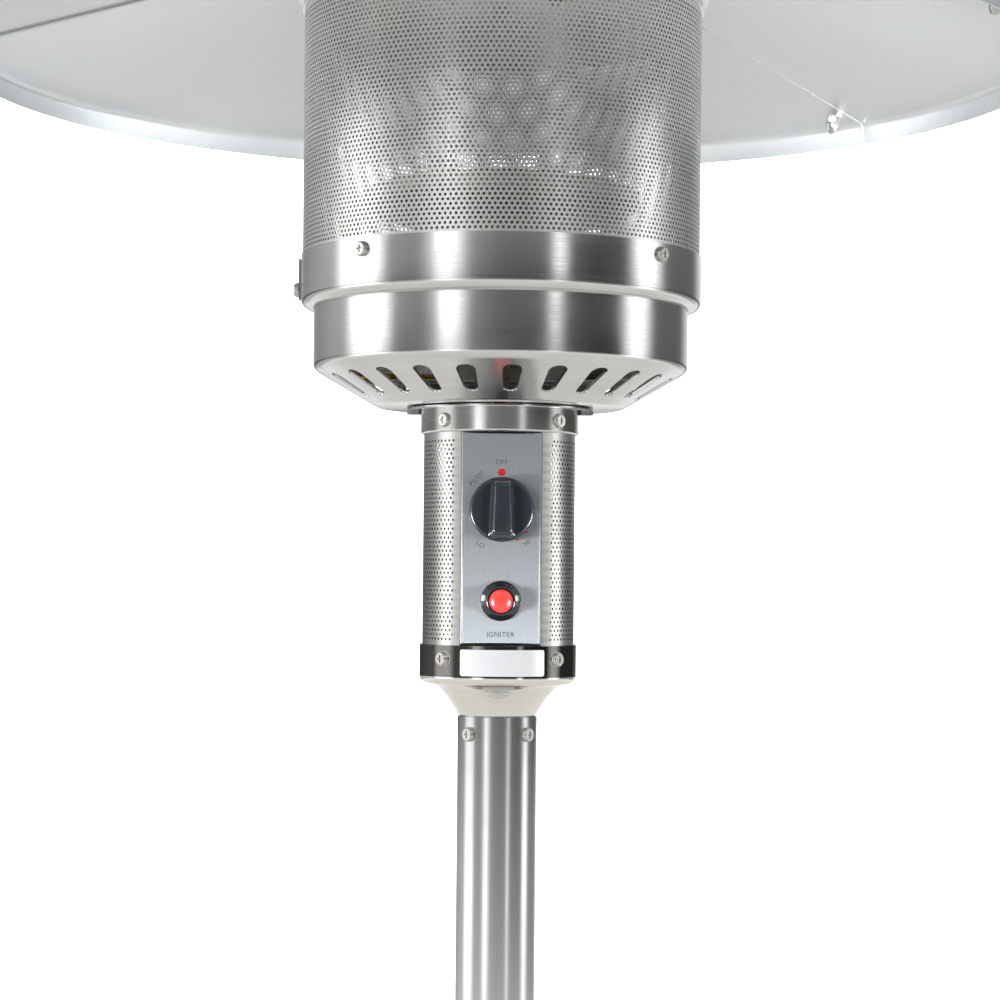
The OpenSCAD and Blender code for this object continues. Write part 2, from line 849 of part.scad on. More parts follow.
// Angle bracket under the bottom plate that carries the valve and the tilt switch
module valve_bracket() {
    color("silver")
    at_head()
        difference() {
            union() {
                translate([-bracket_w / 2, -bracket_face, bracket_z])
                    cube([bracket_w, bracket_t, plate_z - bracket_z]);
                translate([-bracket_w / 2, -bracket_face, plate_z - bracket_t])
                    cube([bracket_w, 2 * bracket_face, bracket_t]);
            }
            translate([-notch_w / 2, -2 * bracket_face, notch_z])
                cube([notch_w, 4 * bracket_face, plate_z]);
            for (s = [-1, 1])
                translate([s * bracket_bolt_x, 0, plate_z]) screw_hole(m6, wall_hole);
            translate([0, 0, plate_z]) cylinder(r = jet_hole_r, h = wall_hole, center = true);
        }
}

// Outline of the stem, a round rod with a flat, grown by a clearance
module stem_outline(grow = 0) {
    difference() {
        circle(r = stem_r + grow);
        translate([-2 * stem_r, stem_flat + grow]) square([4 * stem_r, 2 * stem_r]);
    }
}

// Valve block with its bonnet, its outlet boss and the bore of the rotor
module gas_valve() {
    color("goldenrod")
    on_panel()
        difference() {
            union() {
                translate([-valve_w / 2, knob_z - valve_h / 2, -valve_back])
                    cube([valve_w, valve_h, valve_back - valve_front]);
                translate([0, knob_z, -valve_front - cut]) cylinder(r = bonnet_r, h = valve_front - 2);
                translate([0, knob_z, -outlet_depth]) rotate([-90, 0, 0])
                    cylinder(r = gas_r + 3, h = valve_h / 2 + 6);
            }
            translate([0, knob_z, -rotor_front - rotor_l - 2 * shaft_gap])
                cylinder(r = rotor_r + shaft_gap, h = rotor_l + 4 * shaft_gap);
            translate([0, knob_z, -rotor_front]) cylinder(r = stem_r + move_gap, h = 2 * valve_front);
            translate([0, knob_z + valve_h / 2 + 6, -outlet_depth]) rotate([90, 0, 0])
                cylinder(r = gas_r + still_gap / 2, h = wall_hole, center = true);
            translate([-valve_w / 2, side_z, -outlet_depth]) rotate([0, 90, 0])
                cylinder(r = pilot_tube_r + still_gap / 2, h = pilot_socket, center = true);
        }
}

// Turning plug of the valve, with the flatted bore that the stem slides in
module valve_rotor() {
    color("gold")
    on_panel(knob_z, -rotor_front)
        mirror([0, 0, 1]) difference() {
            cylinder(r = rotor_r, h = rotor_l);
            translate([0, 0, -cut]) linear_extrude(rotor_l - 2 + cut) stem_outline(shaft_gap);
        }
}

module valve_stem() {
    color("silver")
    on_panel(knob_z, -stem_tail) linear_extrude(stem_tail + stem_nose) stem_outline();
}

// Bar along Z whose two sides stand up past the knob's skirt and then lean in to its front
module leaning_bar(foot, head, front) {
    linear_extrude(knob_d, center = true)
        polygon([[-foot, 0], [foot, 0], [foot, knob_skirt], [head, front], [-head, front],
            [-foot, knob_skirt]]);
}

// Knob: round skirt with a grip bar across it
module control_knob() {
    edge = 1.5;
    front = knob_skirt + grip_h;
    color([0.13, 0.15, 0.17])
    on_panel(knob_z, knob_gap)
        difference() {
            union() {
                rotate_extrude()
                    polygon([[0, 0], [knob_r, 0], [knob_r, knob_skirt - edge],
                        [knob_r - edge, knob_skirt], [0, knob_skirt]]);
                intersection() {
                    cylinder(r = knob_r - edge, h = front);
                    rotate([90, 0, 0]) leaning_bar(grip_base / 2, grip_front / 2, front);
                    rotate([90, 0, 90]) leaning_bar(knob_r, grip_l / 2, front);
                }
            }
            translate([0, 0, -cut])
                linear_extrude(stem_nose - knob_gap + cut + still_gap) stem_outline(shaft_gap);
        }
}

// Flare fitting under the valve, where the gas hose is screwed on
module gas_inlet_fitting() {
    hex_h = 8;
    color("goldenrod")
    on_panel(knob_z - valve_h / 2, -outlet_depth) rotate([90, 0, 0])
        difference() {
            union() {
                cylinder(r = inlet_r + 2, h = hex_h, $fn = 6);
                cylinder(r = inlet_r, h = hex_h + inlet_l);
            }
            translate([0, 0, hex_h]) cylinder(r = 4, h = 2 * inlet_l);
        }
}

// Igniter: bezel with a threaded sleeve, ring nut, button and sealed piezo unit
module igniter_bezel() {
    bore_r = button_r + move_gap;
    color([0.1, 0.11, 0.12])
    on_panel(igniter_z)
        rotate_extrude()
            polygon([[bore_r, -sleeve_l], [sleeve_out, -sleeve_l], [sleeve_out, 0], [bezel_r, 0],
                [bezel_r, bezel_rim], [bore_r + bezel_land, bezel_t], [bore_r, bezel_t]]);
}

module igniter_nut() {
    color("silver")
    on_panel(igniter_z, -panel_t - nut_t)
        difference() {
            cylinder(r = sleeve_out + 4, h = nut_t, $fn = 6);
            cylinder(r = sleeve_out + still_gap / 2, h = 4 * nut_t, center = true);
        }
}

module igniter_button() {
    dome = 2.2;
    front = bezel_t + button_proud - dome;
    color([0.95, 0.26, 0.24])
    on_panel(igniter_z)
        rotate_extrude()
            polygon(concat(
                [[0, -sleeve_l - 2], [plunger_r, -sleeve_l - 2], [plunger_r, front - button_l],
                    [button_r, front - button_l]],
                [for (k = [0 : arc_steps])
                    [button_r * cos(90 * k / arc_steps), front + dome * sin(90 * k / arc_steps)]]));
}

module igniter_body() {
    color("dimgray")
    on_panel(igniter_z, -sleeve_l) mirror([0, 0, 1])
        difference() {
            cylinder(r = sleeve_out, h = piezo_l);
            translate([0, 0, -cut])
                cylinder(r = plunger_r + move_gap, h = 2 + button_travel + 2 + cut);
        }
}

// Tilt switch on the back of the valve bracket
module tilt_switch() {
    size = [30, 24, 34];
    color("dimgray")
    at_head() translate([-size[0] / 2, -bracket_face + bracket_t, knob_z - size[2] / 2]) {
        cube(size);
        translate([size[0] / 2, size[1] / 2, size[2]]) cylinder(r = 9, h = 5);
    }
}

// Gas way

// Supply tube from the valve's outlet back to the axis and up to the jet
module gas_supply_tube() {
    foot_z = knob_z + valve_h / 2 + 1;
    back = -outlet_y - 2 * gas_bend;
    level = plate_z - 8 - 2 * gas_bend;
    color("goldenrod")
    at_head() translate([0, outlet_y, foot_z]) rotate([0, 0, 90])
        bent_tube([[level - foot_z, 0], [back, 180], [jet_z - level - 2 * gas_bend, 0]],
            gas_r, gas_bend);
}

module gas_jet() {
    color("goldenrod")
    at_head() translate([0, 0, jet_z])
        difference() {
            union() {
                cylinder(r = jet_r, h = jet_l / 2, $fn = 6);
                rotate_extrude() polygon([[0, jet_l / 2], [4, jet_l / 2], [2.5, jet_l], [0, jet_l]]);
            }
            translate([0, 0, jet_l - 6]) cylinder(r = 0.9, h = jet_l);
        }
}

// Mixer tube with its foot flange and air ports
module burner_tube() {
    color("silver")
    at_head()
        difference() {
            union() {
                ring(mixer_r - mixer_wall, mixer_r, plate_top, head_z);
                ring(mixer_r - mixer_wall, mixer_flange_r, plate_top, plate_top + mixer_flange_t);
            }
            for (a = column_angles)
                rotate([0, 0, a]) translate([0, -port_w / 2, plate_top + 8])
                    cube([mixer_r + 5, port_w, port_h]);
            for (s = [-1, 1])
                translate([s * bracket_bolt_x, 0, plate_top]) screw_hole(m6, wall_hole);
        }
}

// Hollow burner head with a ring of flame ports in its top
module burner_head() {
    skin = 1.5;
    ports = 36;
    port_r = 2.2;
    port_in = 16;
    foot_in = 8;
    foot_h = 6;
    top_in = 10;
    top_h = 4;
    roof = head_z + head_h;
    color("gray")
    at_head()
        difference() {
            rotate_extrude()
                polygon([[mixer_r - mixer_wall, head_z], [head_r - foot_in, head_z],
                    [head_r, head_z + foot_h], [head_r, roof - top_h], [head_r - top_in, roof], [0, roof],
                    [0, roof - skin], [head_r - top_in - skin, roof - skin],
                    [head_r - skin, roof - top_h - skin], [head_r - skin, head_z + foot_h],
                    [head_r - foot_in, head_z + skin], [mixer_r - mixer_wall, head_z + skin]]);
            for (i = [0 : ports - 1])
                rotate([0, 0, i * 360 / ports]) translate([head_r - port_in, 0, roof])
                    cylinder(r = port_r, h = 4 * skin, center = true, $fn = 24);
        }
}

// Standing tab on the bottom plate that carries the pilot, the probe and the electrode
module pilot_bracket() {
    foot_x = -plate_r + tab_foot;
    color("silver")
    at_head()
        difference() {
            translate([0, outlet_y, 0]) rotate([90, 0, 0]) linear_extrude(tab_w, center = true)
                sheet([[foot_x + tab_foot, plate_top + tab_t / 2], [foot_x, plate_top + tab_t / 2],
                    [foot_x, shelf_z], [pilot_x - shelf_out, shelf_z]], tab_t);
            translate([pilot_x, outlet_y, shelf_z])
                cylinder(r = pilot_hole_r, h = wall_hole, center = true);
            translate([foot_x, outlet_y, pilot_run_z]) rotate([0, 90, 0])
                cylinder(r = pilot_hole_r, h = wall_hole, center = true);
            for (s = [-1, 1])
                translate([pilot_x, outlet_y + s * rod_side, shelf_z])
                    cylinder(r = rod_r + still_gap / 2, h = wall_hole, center = true);
        }
}

module pilot_burner() {
    color("goldenrod")
    at_head() translate([pilot_x, outlet_y, shelf_z + tab_t / 2])
        difference() {
            union() {
                cylinder(r = pilot_r, h = pilot_l);
                translate([0, 0, pilot_l]) cylinder(r = pilot_r + 2, h = 3);
            }
            translate([0, 0, pilot_l - 6]) cylinder(r = 2, h = pilot_l);
        }
}

// Pilot tube from the side of the valve through the bottom plate to the pilot
module pilot_tube() {
    start = [-valve_w / 2 + 4, outlet_y, side_z];
    rise = pilot_run_z - start[2] - 2 * pilot_bend;
    first = start[0] - pilot_rise_x - pilot_bend;
    across = pilot_rise_x - pilot_x - 2 * pilot_bend;
    top = shelf_z + tab_t / 2 - pilot_run_z - pilot_bend;
    color("goldenrod")
    at_head() translate(start) rotate([0, -90, 0])
        bent_tube([[first, 0], [rise, 180], [across, 180], [top, 0]], pilot_tube_r, pilot_bend);
}

// Probe and electrode rods beside the pilot, each with a collar on the shelf
module pilot_rod(side, body_l) {
    at_head() translate([pilot_x, outlet_y + side * rod_side, shelf_z + tab_t / 2]) {
        cylinder(r = 4, h = body_l);
        translate([0, 0, -rod_tail]) cylinder(r = rod_r, h = rod_l);
    }
}

module thermocouple() {
    color("peru") pilot_rod(1, 6);
}

module ignition_electrode() {
    color("white") pilot_rod(-1, 20);
}

// Burner housing

// Outline of a vent slot on the cone, wider at its outer end
module slot_outline() {
    half = (slot_l - slot_outer / 2 - slot_inner / 2) / 2;
    polygon([[-half, -slot_inner / 2], [half, -slot_outer / 2], [half, slot_outer / 2],
        [-half, slot_inner / 2]]);
    translate([half, 0]) circle(d = slot_outer);
    translate([-half, 0]) circle(d = slot_inner);
}

module burner_housing() {
    wall_r = bowl_r - bowl_wall / 2;
    floor_z = plate_z + bowl_wall / 2;
    line = concat(
        [[jet_hole_r, floor_z], [plate_r, floor_z]],
        corner([plate_r, floor_z], [wall_r, cone_top], [wall_r, bowl_top], bowl_edge_r),
        [[wall_r, bowl_top]]);
    color("gainsboro")
    at_head()
        difference() {
            rotate_extrude() sheet(line, bowl_wall);
            for (i = [0 : slot_count - 1])
                rotate([0, 0, slot_a + i * 360 / slot_count])
                    translate([plate_r + cone_run / 2, 0, plate_z + cone_rise / 2])
                        rotate([0, -cone_a, 0]) linear_extrude(slot_cut, center = true) slot_outline();
            for (a = plate_angles)
                rotate([0, 0, a]) translate([plate_bolt_r, 0, plate_z]) screw_hole(m6, wall_hole);
            for (s = [-1, 1])
                translate([s * bracket_bolt_x, 0, plate_z]) screw_hole(m6, wall_hole);
            for (a = band_angles)
                radial(a, bowl_r, band_screw_z) screw_hole(pan5, wall_hole);
            radial(clip_a, bowl_r, clip_screw_z) screw_hole(pan5, wall_hole);
            translate([pilot_rise_x, outlet_y, plate_z])
                cylinder(r = pilot_hole_r, h = wall_hole, center = true);
        }
}

// Band round the foot of the emitter screen, rounded under to the housing's wall
module trim_band() {
    floor_z = band_z + band_wall / 2;
    foot_r = bowl_r + still_gap;
    line = concat(
        [[foot_r, floor_z]],
        corner([foot_r, floor_z], [band_r, floor_z], [band_r, band_top], min(band_edge_r, band_r - foot_r)),
        [[band_r, band_top]]);
    color("gainsboro")
    at_head()
        difference() {
            rotate_extrude() sheet(line, band_wall);
            for (a = band_angles)
                radial(a, band_r, band_screw_z) screw_hole(pan5, thin_hole);
            radial(clip_a, band_r, clip_screw_z) screw_hole(pan5, thin_hole);
        }
}

// Strip over the band's joint, on its left side
module band_clip() {
    in_r = band_r + band_wall / 2 + still_gap;
    color("silver")
    at_head()
        difference() {
            intersection() {
                ring(in_r, in_r + clip_t, clip_foot, clip_top);
                translate([-2 * screen_r, -clip_w / 2, 0]) cube([2 * screen_r, clip_w, screen_top]);
            }
            radial(clip_a, in_r, clip_screw_z) screw_hole(pan5, wall_hole);
        }
}

module emitter_screen() {
    color("darkgray")
    at_head()
        difference() {
            ring(screen_r - screen_wall, screen_r, screen_foot, screen_top);
            for (a = band_angles)
                radial(a, screen_r, band_screw_z) screw_hole(pan5, thin_hole);
            radial(clip_a, screen_r, clip_screw_z) screw_hole(pan5, thin_hole);
        }
}

// Cap on the screen: a skirt inside it, a lip on its edge and a flange on top
module screen_cap() {
    plug_r = screen_r - screen_wall - still_gap;
    color("gray")
    at_head()
        difference() {
            union() {
                ring(plug_r - cap_sheet, plug_r, screen_top - cap_skirt, cap_top);
                ring(plug_r - cap_sheet, screen_r + cap_lip, screen_top, screen_top + cap_sheet);
                ring(plug_r - cap_sheet, screen_r + 0.6, screen_top, cap_top);
                ring(0, cap_flange_r, cap_top - cap_sheet, cap_top);
            }
            for (a = leg_angles)
                rotate([0, 0, a]) translate([stud_ring, 0, cap_top]) screw_hole([stud_r], wall_hole);
        }
}

// Reflector

// Studs from the cap up to the hub, each with a spacer tube and two nuts
module reflector_studs() {
    top_z = hub_seat + hub_t / 2;
    spacer_h = hub_seat - hub_t / 2 - cap_top;
    stud_nut = [stud_r, 7.5, 5.5];
    stud_end = stud_nut[2] + 2;
    foot_z = cap_top - cap_sheet;
    color("silver")
    at_head()
        for (a = leg_angles)
            rotate([0, 0, a]) translate([stud_ring, 0, 0]) {
                translate([0, 0, foot_z - stud_end])
                    cylinder(r = stud_r, h = top_z - foot_z + 2 * stud_end);
                translate([0, 0, foot_z - stud_nut[2]]) hex_nut(stud_nut);
                translate([0, 0, top_z]) hex_nut(stud_nut);
                ring(stud_r + still_gap / 2, stud_r + 2, cap_top, cap_top + spacer_h);
            }
}

// Underside of a seam's lap at a radius, with +Z square to the sheet
module at_seam(i, r) {
    rotate([0, 0, seam_a + lap_a / 2 + i * sector_a])
        translate([r, 0, cone_z(r) - reflector_t / 2]) rotate([0, atan(reflector_slope), 0]) children();
}

// Hub under the inner ends of the panels: flat in the middle, coned outside
module reflector_hub() {
    color("silver")
    at_head()
        difference() {
            rotate_extrude()
                sheet([[0, hub_seat], [hub_flat, hub_seat], [hub_rim, hub_z(hub_rim)]], hub_t);
            for (a = leg_angles)
                rotate([0, 0, a]) translate([stud_ring, 0, hub_seat]) screw_hole([stud_r], wall_hole);
            for (i = [0 : panel_count - 1])
                at_seam(i, hub_bolt_r) screw_hole(m6, seam_hole);
        }
}

// Sector of sheet with a turned-down rim: its cone lies between two heights over the middle line, its
// rim between two radii, and the inset keeps it back from the edges of its neighbours
module rimmed_sector(from, sweep, low, high, rim_in, rim_out, inset) {
    from_r = inner_r + inset;
    rotate([0, 0, from])
        rotate_extrude(angle = sweep)
            polygon([[from_r, cone_z(from_r) + low], [rim_in, cone_z(rim_in) + low],
                [rim_in, rim_z + inset], [rim_out, rim_z + inset], [rim_out, cone_z(rim_out) + high],
                [from_r, cone_z(from_r) + high]]);
}

// One panel: its sheet, a riser at its far edge and the lap that covers the next panel
module reflector_panel(i) {
    start = seam_a + i * sector_a;
    lap_start = start + sector_a;
    half = reflector_t / 2;
    lap_r = reflector_r + still_gap;
    color("lightgray")
    at_head()
        difference() {
            union() {
                rimmed_sector(start + seam_clear, sector_a - 2 * seam_clear, -half, half,
                    reflector_r - reflector_t, reflector_r, 0);
                rimmed_sector(lap_start - riser_a, riser_a - 2 * seam_clear, 0, lap_step,
                    reflector_r - half, lap_r + half, 2 * lap_inset);
                rimmed_sector(lap_start - riser_a - seam_clear, riser_a + lap_a, lap_step - half,
                    lap_step + half, lap_r, lap_r + reflector_t, lap_inset);
            }
            for (s = [0, 1], r = bolt_rows)
                at_seam(i + s, r) screw_hole(m6, seam_hole);
        }
}

module reflector_panel_1() { reflector_panel(0); }
module reflector_panel_2() { reflector_panel(1); }
module reflector_panel_3() { reflector_panel(2); }
module reflector_panel_4() { reflector_panel(3); }
module reflector_panel_5() { reflector_panel(4); }

// Acorn nut that hangs under a seam, its face at z = 0 and its dome down
module acorn_nut(bore_l) {
    hex_l = 7;
    difference() {
        union() {
            translate([0, 0, -hex_l]) cylinder(r = acorn_r, h = hex_l, $fn = 6);
            translate([0, 0, -acorn_l]) rotate_extrude()
                polygon([for (k = [0 : arc_steps])
                    [0.8 * acorn_r * sin(90 * k / arc_steps),
                        (acorn_l - hex_l) * (1 - cos(90 * k / arc_steps))],
                    [0, acorn_l - hex_l]]);
        }
        translate([0, 0, -bore_l]) cylinder(r = m6[0] + still_gap / 2, h = 2 * bore_l);
    }
}

// Seam bolts with their acorn nuts, two rows along the seams and one row in the hub
module seam_bolts() {
    stack = 2 * reflector_t + still_gap;
    color("silver")
    at_head()
        for (i = [0 : panel_count - 1], r = bolt_rows)
            at_seam(i, r) {
                under = r < hub_rim ? hub_t + 2 * still_gap : still_gap / 2;
                translate([0, 0, stack + still_gap / 2]) pan_screw(m6, stack + under + 8);
                translate([0, 0, -under]) acorn_nut(9);
            }
}

// Cover over the middle of the reflector
module reflector_cap() {
    foot_z = cone_z(cover_r) + 2 * reflector_t + 2 * still_gap;
    peak_z = cone_z(0) + cover_rise;
    color("lightgray")
    at_head()
        rotate_extrude()
            sheet([for (k = [0 : flare_steps])
                let(t = k / flare_steps, drop = max(t, 1 / flare_steps))
                [cover_r * t, peak_z - (peak_z - foot_z) * drop * drop]], reflector_t);
}

base_pan();
wheel_bracket();
wheel_axle();
axle_caps();
wheel_left();
tyre_left();
wheel_right();
tyre_right();
support_leg_1();
support_leg_2();
support_leg_3();
base_bolts();
post_flange();
tank_housing();
housing_lid();
lid_screws();
post();
post_screws();
post_insert();
lower_collar();
control_shell();
control_panel();
collar_screws();
upper_collar();
burner_bolts();
valve_bracket();
gas_valve();
valve_rotor();
valve_stem();
control_knob();
gas_inlet_fitting();
igniter_bezel();
igniter_nut();
igniter_button();
igniter_body();
tilt_switch();
gas_supply_tube();
gas_jet();
burner_tube();
burner_head();
pilot_bracket();
pilot_burner();
pilot_tube();
thermocouple();
ignition_electrode();
burner_housing();
trim_band();
band_clip();
emitter_screen();
screen_cap();
reflector_studs();
reflector_hub();
reflector_panel_1();
reflector_panel_2();
reflector_panel_3();
reflector_panel_4();
reflector_panel_5();
seam_bolts();
reflector_cap();
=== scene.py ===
"""Looks of a free-standing gas patio heater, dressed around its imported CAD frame.

Sizes are in millimetres and angles in degrees from +X towards +Y. Heights in the classes of the head
count from the top of the post, those of the post, the tank housing and the base from the floor. The
control panel faces -Y.
"""

import logging
import math
from dataclasses import dataclass
from enum import Enum
from typing import Any, Callable, Iterable, Sequence

import bmesh
import bpy
from bmesh.types import BMEdge, BMFace, BMVert
from mathutils import Matrix, Vector


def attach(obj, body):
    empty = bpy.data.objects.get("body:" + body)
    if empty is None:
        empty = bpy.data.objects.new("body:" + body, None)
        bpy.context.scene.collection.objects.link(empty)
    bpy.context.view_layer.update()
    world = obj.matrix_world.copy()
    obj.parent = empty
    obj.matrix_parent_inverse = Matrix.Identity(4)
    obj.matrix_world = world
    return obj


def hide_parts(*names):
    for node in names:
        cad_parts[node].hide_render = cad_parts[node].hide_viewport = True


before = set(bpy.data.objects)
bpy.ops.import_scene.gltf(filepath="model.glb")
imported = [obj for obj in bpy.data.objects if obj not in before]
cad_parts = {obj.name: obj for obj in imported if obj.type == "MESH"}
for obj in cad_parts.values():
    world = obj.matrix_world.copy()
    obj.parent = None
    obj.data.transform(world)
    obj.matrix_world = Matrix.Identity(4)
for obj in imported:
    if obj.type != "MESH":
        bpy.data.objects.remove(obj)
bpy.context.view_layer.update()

log = logging.getLogger("patio_heater")

MM = 0.001
# Height of the top of the post over the floor
HEAD = 1590.0
# Segments of a full turn on the large sheet pieces, on middling turned ones and on small ones
FULL_TURN = 192
MIDDLE_TURN = 96
SMALL_TURN = 64
# Distance under which two points of a mesh are one
WELD = 0.004
# Values of a noise between which a finish drifts in tone and in gloss
TONE_RANGE = (0.34, 0.66)
GLOSS_RANGE = (0.3, 0.7)
LEAST_ROUGHNESS = 0.02
# Directions of four screws that stand between the axes
DIAGONALS = (45.0, 135.0, 225.0, 315.0)

Corner = tuple[float, ...]


def linear(code: str) -> tuple[float, float, float, float]:
    """Turns an sRGB hex colour into linear RGBA.

    Args:
        code: The colour, as #RRGGBB.
    Returns:
        Its linear values and an alpha of 1.
    """
    parts = [int(code[i:i + 2], 16) / 255 for i in (1, 3, 5)]
    toned = [c / 12.92 if c <= 0.04045 else ((c + 0.055) / 1.055) ** 2.4 for c in parts]
    return (*toned, 1.0)


def add_node(tree: bpy.types.NodeTree, kind: str, inputs: dict | None = None,
             **settings: Any) -> bpy.types.Node:
    """Adds a node to a tree, sets it up and wires it.

    Args:
        tree: The tree that gets the node.
        kind: The node's type name.
        inputs: A value or an output socket for each input, by name or number.
        settings: Values of the node's own attributes.
    Returns:
        The new node.
    """
    node = tree.nodes.new(kind)
    for key, value in settings.items():
        setattr(node, key, value)
    for key, value in (inputs or {}).items():
        if isinstance(value, bpy.types.NodeSocket):
            tree.links.new(value, node.inputs[key])
        else:
            node.inputs[key].default_value = value
    return node


def add_object(name: str, data: bpy.types.ID) -> bpy.types.Object:
    """Adds an object to the scene.

    Args:
        name: Name of the object.
        data: Its mesh, curve, lamp or camera.
    Returns:
        The new object.
    """
    made = bpy.data.objects.new(name, data)
    bpy.context.scene.collection.objects.link(made)
    return made


class Grain(Enum):
    """Which way the fine marks of a surface run."""

    SPECKLE = "no direction"
    UPRIGHT = "along the post"
    AROUND = "round the post"
    RADIAL = "out from the post"


@dataclass(frozen=True)
class Finish:
    """A surface finish: its colours, its gloss and the marks that its making left.

    Attributes:
        name: Name of the material.
        slot: The record's material slot that it belongs to; not used.
        colour: Main colour.
        shade: Colour that the main one drifts to in patches.
        metallic: 1 for bare metal, 0 for the rest.
        roughness: Middle roughness.
        spread: How far the roughness goes up and down.
        grain: Direction of the fine marks.
        fine: Width of a mark, in millimetres.
        long: Length of a mark, in millimetres.
        patch: Size of the patches of shade, in millimetres.
        depth: Height of the marks, in millimetres.
        coat: Weight of a clear glossy skin.
        spin: How far upright hairlines spread the gloss sideways.
    """

    name: str
    slot: str
    colour: str
    shade: str
    metallic: float
    roughness: float
    spread: float
    grain: Grain
    fine: float
    long: float
    patch: float
    depth: float
    coat: float = 0.0
    spin: float = 0.0

    def marks(self, tree: bpy.types.NodeTree, place: bpy.types.NodeSocket) -> bpy.types.NodeSocket:
        """Makes the coordinates in which one unit is one mark of the grain.

        Args:
            tree: The material's node tree.
            place: Object coordinates.
        Returns:
            The stretched coordinates.
        """
        fine, along = 1 / (self.fine * MM), 1 / (self.long * MM)
        if self.grain is Grain.RADIAL:
            axes = add_node(tree, "ShaderNodeSeparateXYZ", {0: place})
            angle = add_node(tree, "ShaderNodeMath", {0: axes.outputs["Y"], 1: axes.outputs["X"]},
                             operation="ARCTAN2")
            reach = add_node(tree, "ShaderNodeVectorMath", {0: place}, operation="LENGTH")
            place = add_node(tree, "ShaderNodeCombineXYZ",
                             {"X": angle.outputs[0], "Y": reach.outputs["Value"]}).outputs[0]
        scale = {
            Grain.SPECKLE: (fine, fine, fine),
            Grain.UPRIGHT: (fine, fine, along),
            Grain.AROUND: (along, along, fine),
            Grain.RADIAL: (Reflector.radius * MM * fine, along, along),
        }[self.grain]
        return add_node(tree, "ShaderNodeMapping", {"Vector": place, "Scale": scale}).outputs[0]

    def material(self) -> bpy.types.Material:
        """Builds the material the first time it is asked for.

        Returns:
            The material.
        """
        found = bpy.data.materials.get(self.name)
        if found:
            return found
        made = bpy.data.materials.new(self.name)
        made.use_nodes = True
        tree = made.node_tree
        skin = tree.nodes["Principled BSDF"]
        place = add_node(tree, "ShaderNodeTexCoord").outputs["Object"]
        patches = add_node(tree, "ShaderNodeTexNoise",
                           {"Vector": place, "Scale": 1 / (self.patch * MM), "Detail": 3.0})
        marks = add_node(tree, "ShaderNodeTexNoise",
                         {"Vector": self.marks(tree, place), "Scale": 1.0, "Detail": 2.0})
        both = add_node(tree, "ShaderNodeMix",
                        {0: 0.5, 2: patches.outputs["Fac"], 3: marks.outputs["Fac"]}).outputs[0]
        drift = add_node(tree, "ShaderNodeMapRange",
                         {"Value": both, "From Min": TONE_RANGE[0], "From Max": TONE_RANGE[1]})
        tone = add_node(tree, "ShaderNodeMix",
                        {0: drift.outputs[0], 6: linear(self.colour), 7: linear(self.shade)},
                        data_type="RGBA")
        gloss = add_node(tree, "ShaderNodeMapRange",
                         {"Value": both, "From Min": GLOSS_RANGE[0], "From Max": GLOSS_RANGE[1],
                          "To Min": max(LEAST_ROUGHNESS, self.roughness - self.spread),
                          "To Max": self.roughness + self.spread})
        relief = add_node(tree, "ShaderNodeBump",
                          {"Height": marks.outputs["Fac"], "Distance": self.depth * MM, "Strength": 1.0})
        skin.inputs["Metallic"].default_value = self.metallic
        skin.inputs["Coat Weight"].default_value = self.coat
        if self.spin:
            skin.inputs["Anisotropic"].default_value = self.spin
            across = add_node(tree, "ShaderNodeTangent", direction_type="RADIAL", axis="Z")
            tree.links.new(across.outputs[0], skin.inputs["Tangent"])
        tree.links.new(tone.outputs[2], skin.inputs["Base Color"])
        tree.links.new(gloss.outputs[0], skin.inputs["Roughness"])
        tree.links.new(relief.outputs[0], skin.inputs["Normal"])
        return made


# Stainless sheet, polished bright on rollers: a near mirror with faint lines and finger marks
POLISHED = Finish("polished_stainless_sheet", "polished_steel", "#DEDEDD", "#CFCFCE", 1.0, 0.18, 0.06,
                  Grain.AROUND, 0.5, 60, 45, 0.0006)
# Stainless lower collar, polished to a mirror: sharp reflections with faint lines round it
MIRROR = Finish("mirror_stainless_sheet", "polished_steel", "#F0EEE9", "#E4E2DC", 1.0, 0.06, 0.02,
                Grain.AROUND, 0.5, 60, 45, 0.0002)
# Rolled stainless sheet of the housing and the base: bright, even, with faint upright lines
ROLLED = Finish("rolled_stainless_sheet", "polished_steel", "#DCDCDB", "#D5D5D4", 1.0, 0.21, 0.03,
                Grain.UPRIGHT, 0.5, 150, 260, 0.0005)
# Drawn stainless tube, polished along its length: fine upright lines that draw reflections out
TUBE = Finish("polished_stainless_tube", "polished_steel", "#DADADA", "#C9C9CA", 1.0, 0.2, 0.06,
              Grain.UPRIGHT, 0.4, 90, 70, 0.001)
# Stainless panel, belt-brushed: even upright hairlines, a soft grey sheen; lines drawn coarse to show
BRUSHED = Finish("brushed_stainless_panel", "brushed_panel", "#B2B8BC", "#9EA4A9", 1.0, 0.4, 0.05,
                 Grain.UPRIGHT, 0.55, 45, 60, 0.0012, spin=0.97)
# Perforated stainless sheet, mill finish: bright but not mirror-like between its holes
PERFORATED = Finish("perforated_stainless_sheet", "perforated_steel", "#E8E8E6", "#D8D8D6", 1.0, 0.35, 0.06,
                    Grain.UPRIGHT, 1.2, 60, 40, 0.0006)
# Perforated stainless tube of the column: as the screen's sheet, but duller
PUNCHED = Finish("perforated_stainless_tube", "perforated_steel", "#C4C4C1", "#B4B4B0", 1.0, 0.3, 0.06,
                 Grain.UPRIGHT, 1.2, 60, 40, 0.0006)
# Stainless burner plate after some firing: straw and grey tints over a dull surface
FIRED = Finish("fired_stainless_plate", "burner_steel", "#CDC3B2", "#ABA294", 1.0, 0.42, 0.1,
               Grain.SPECKLE, 2.0, 2.0, 30, 0.002)
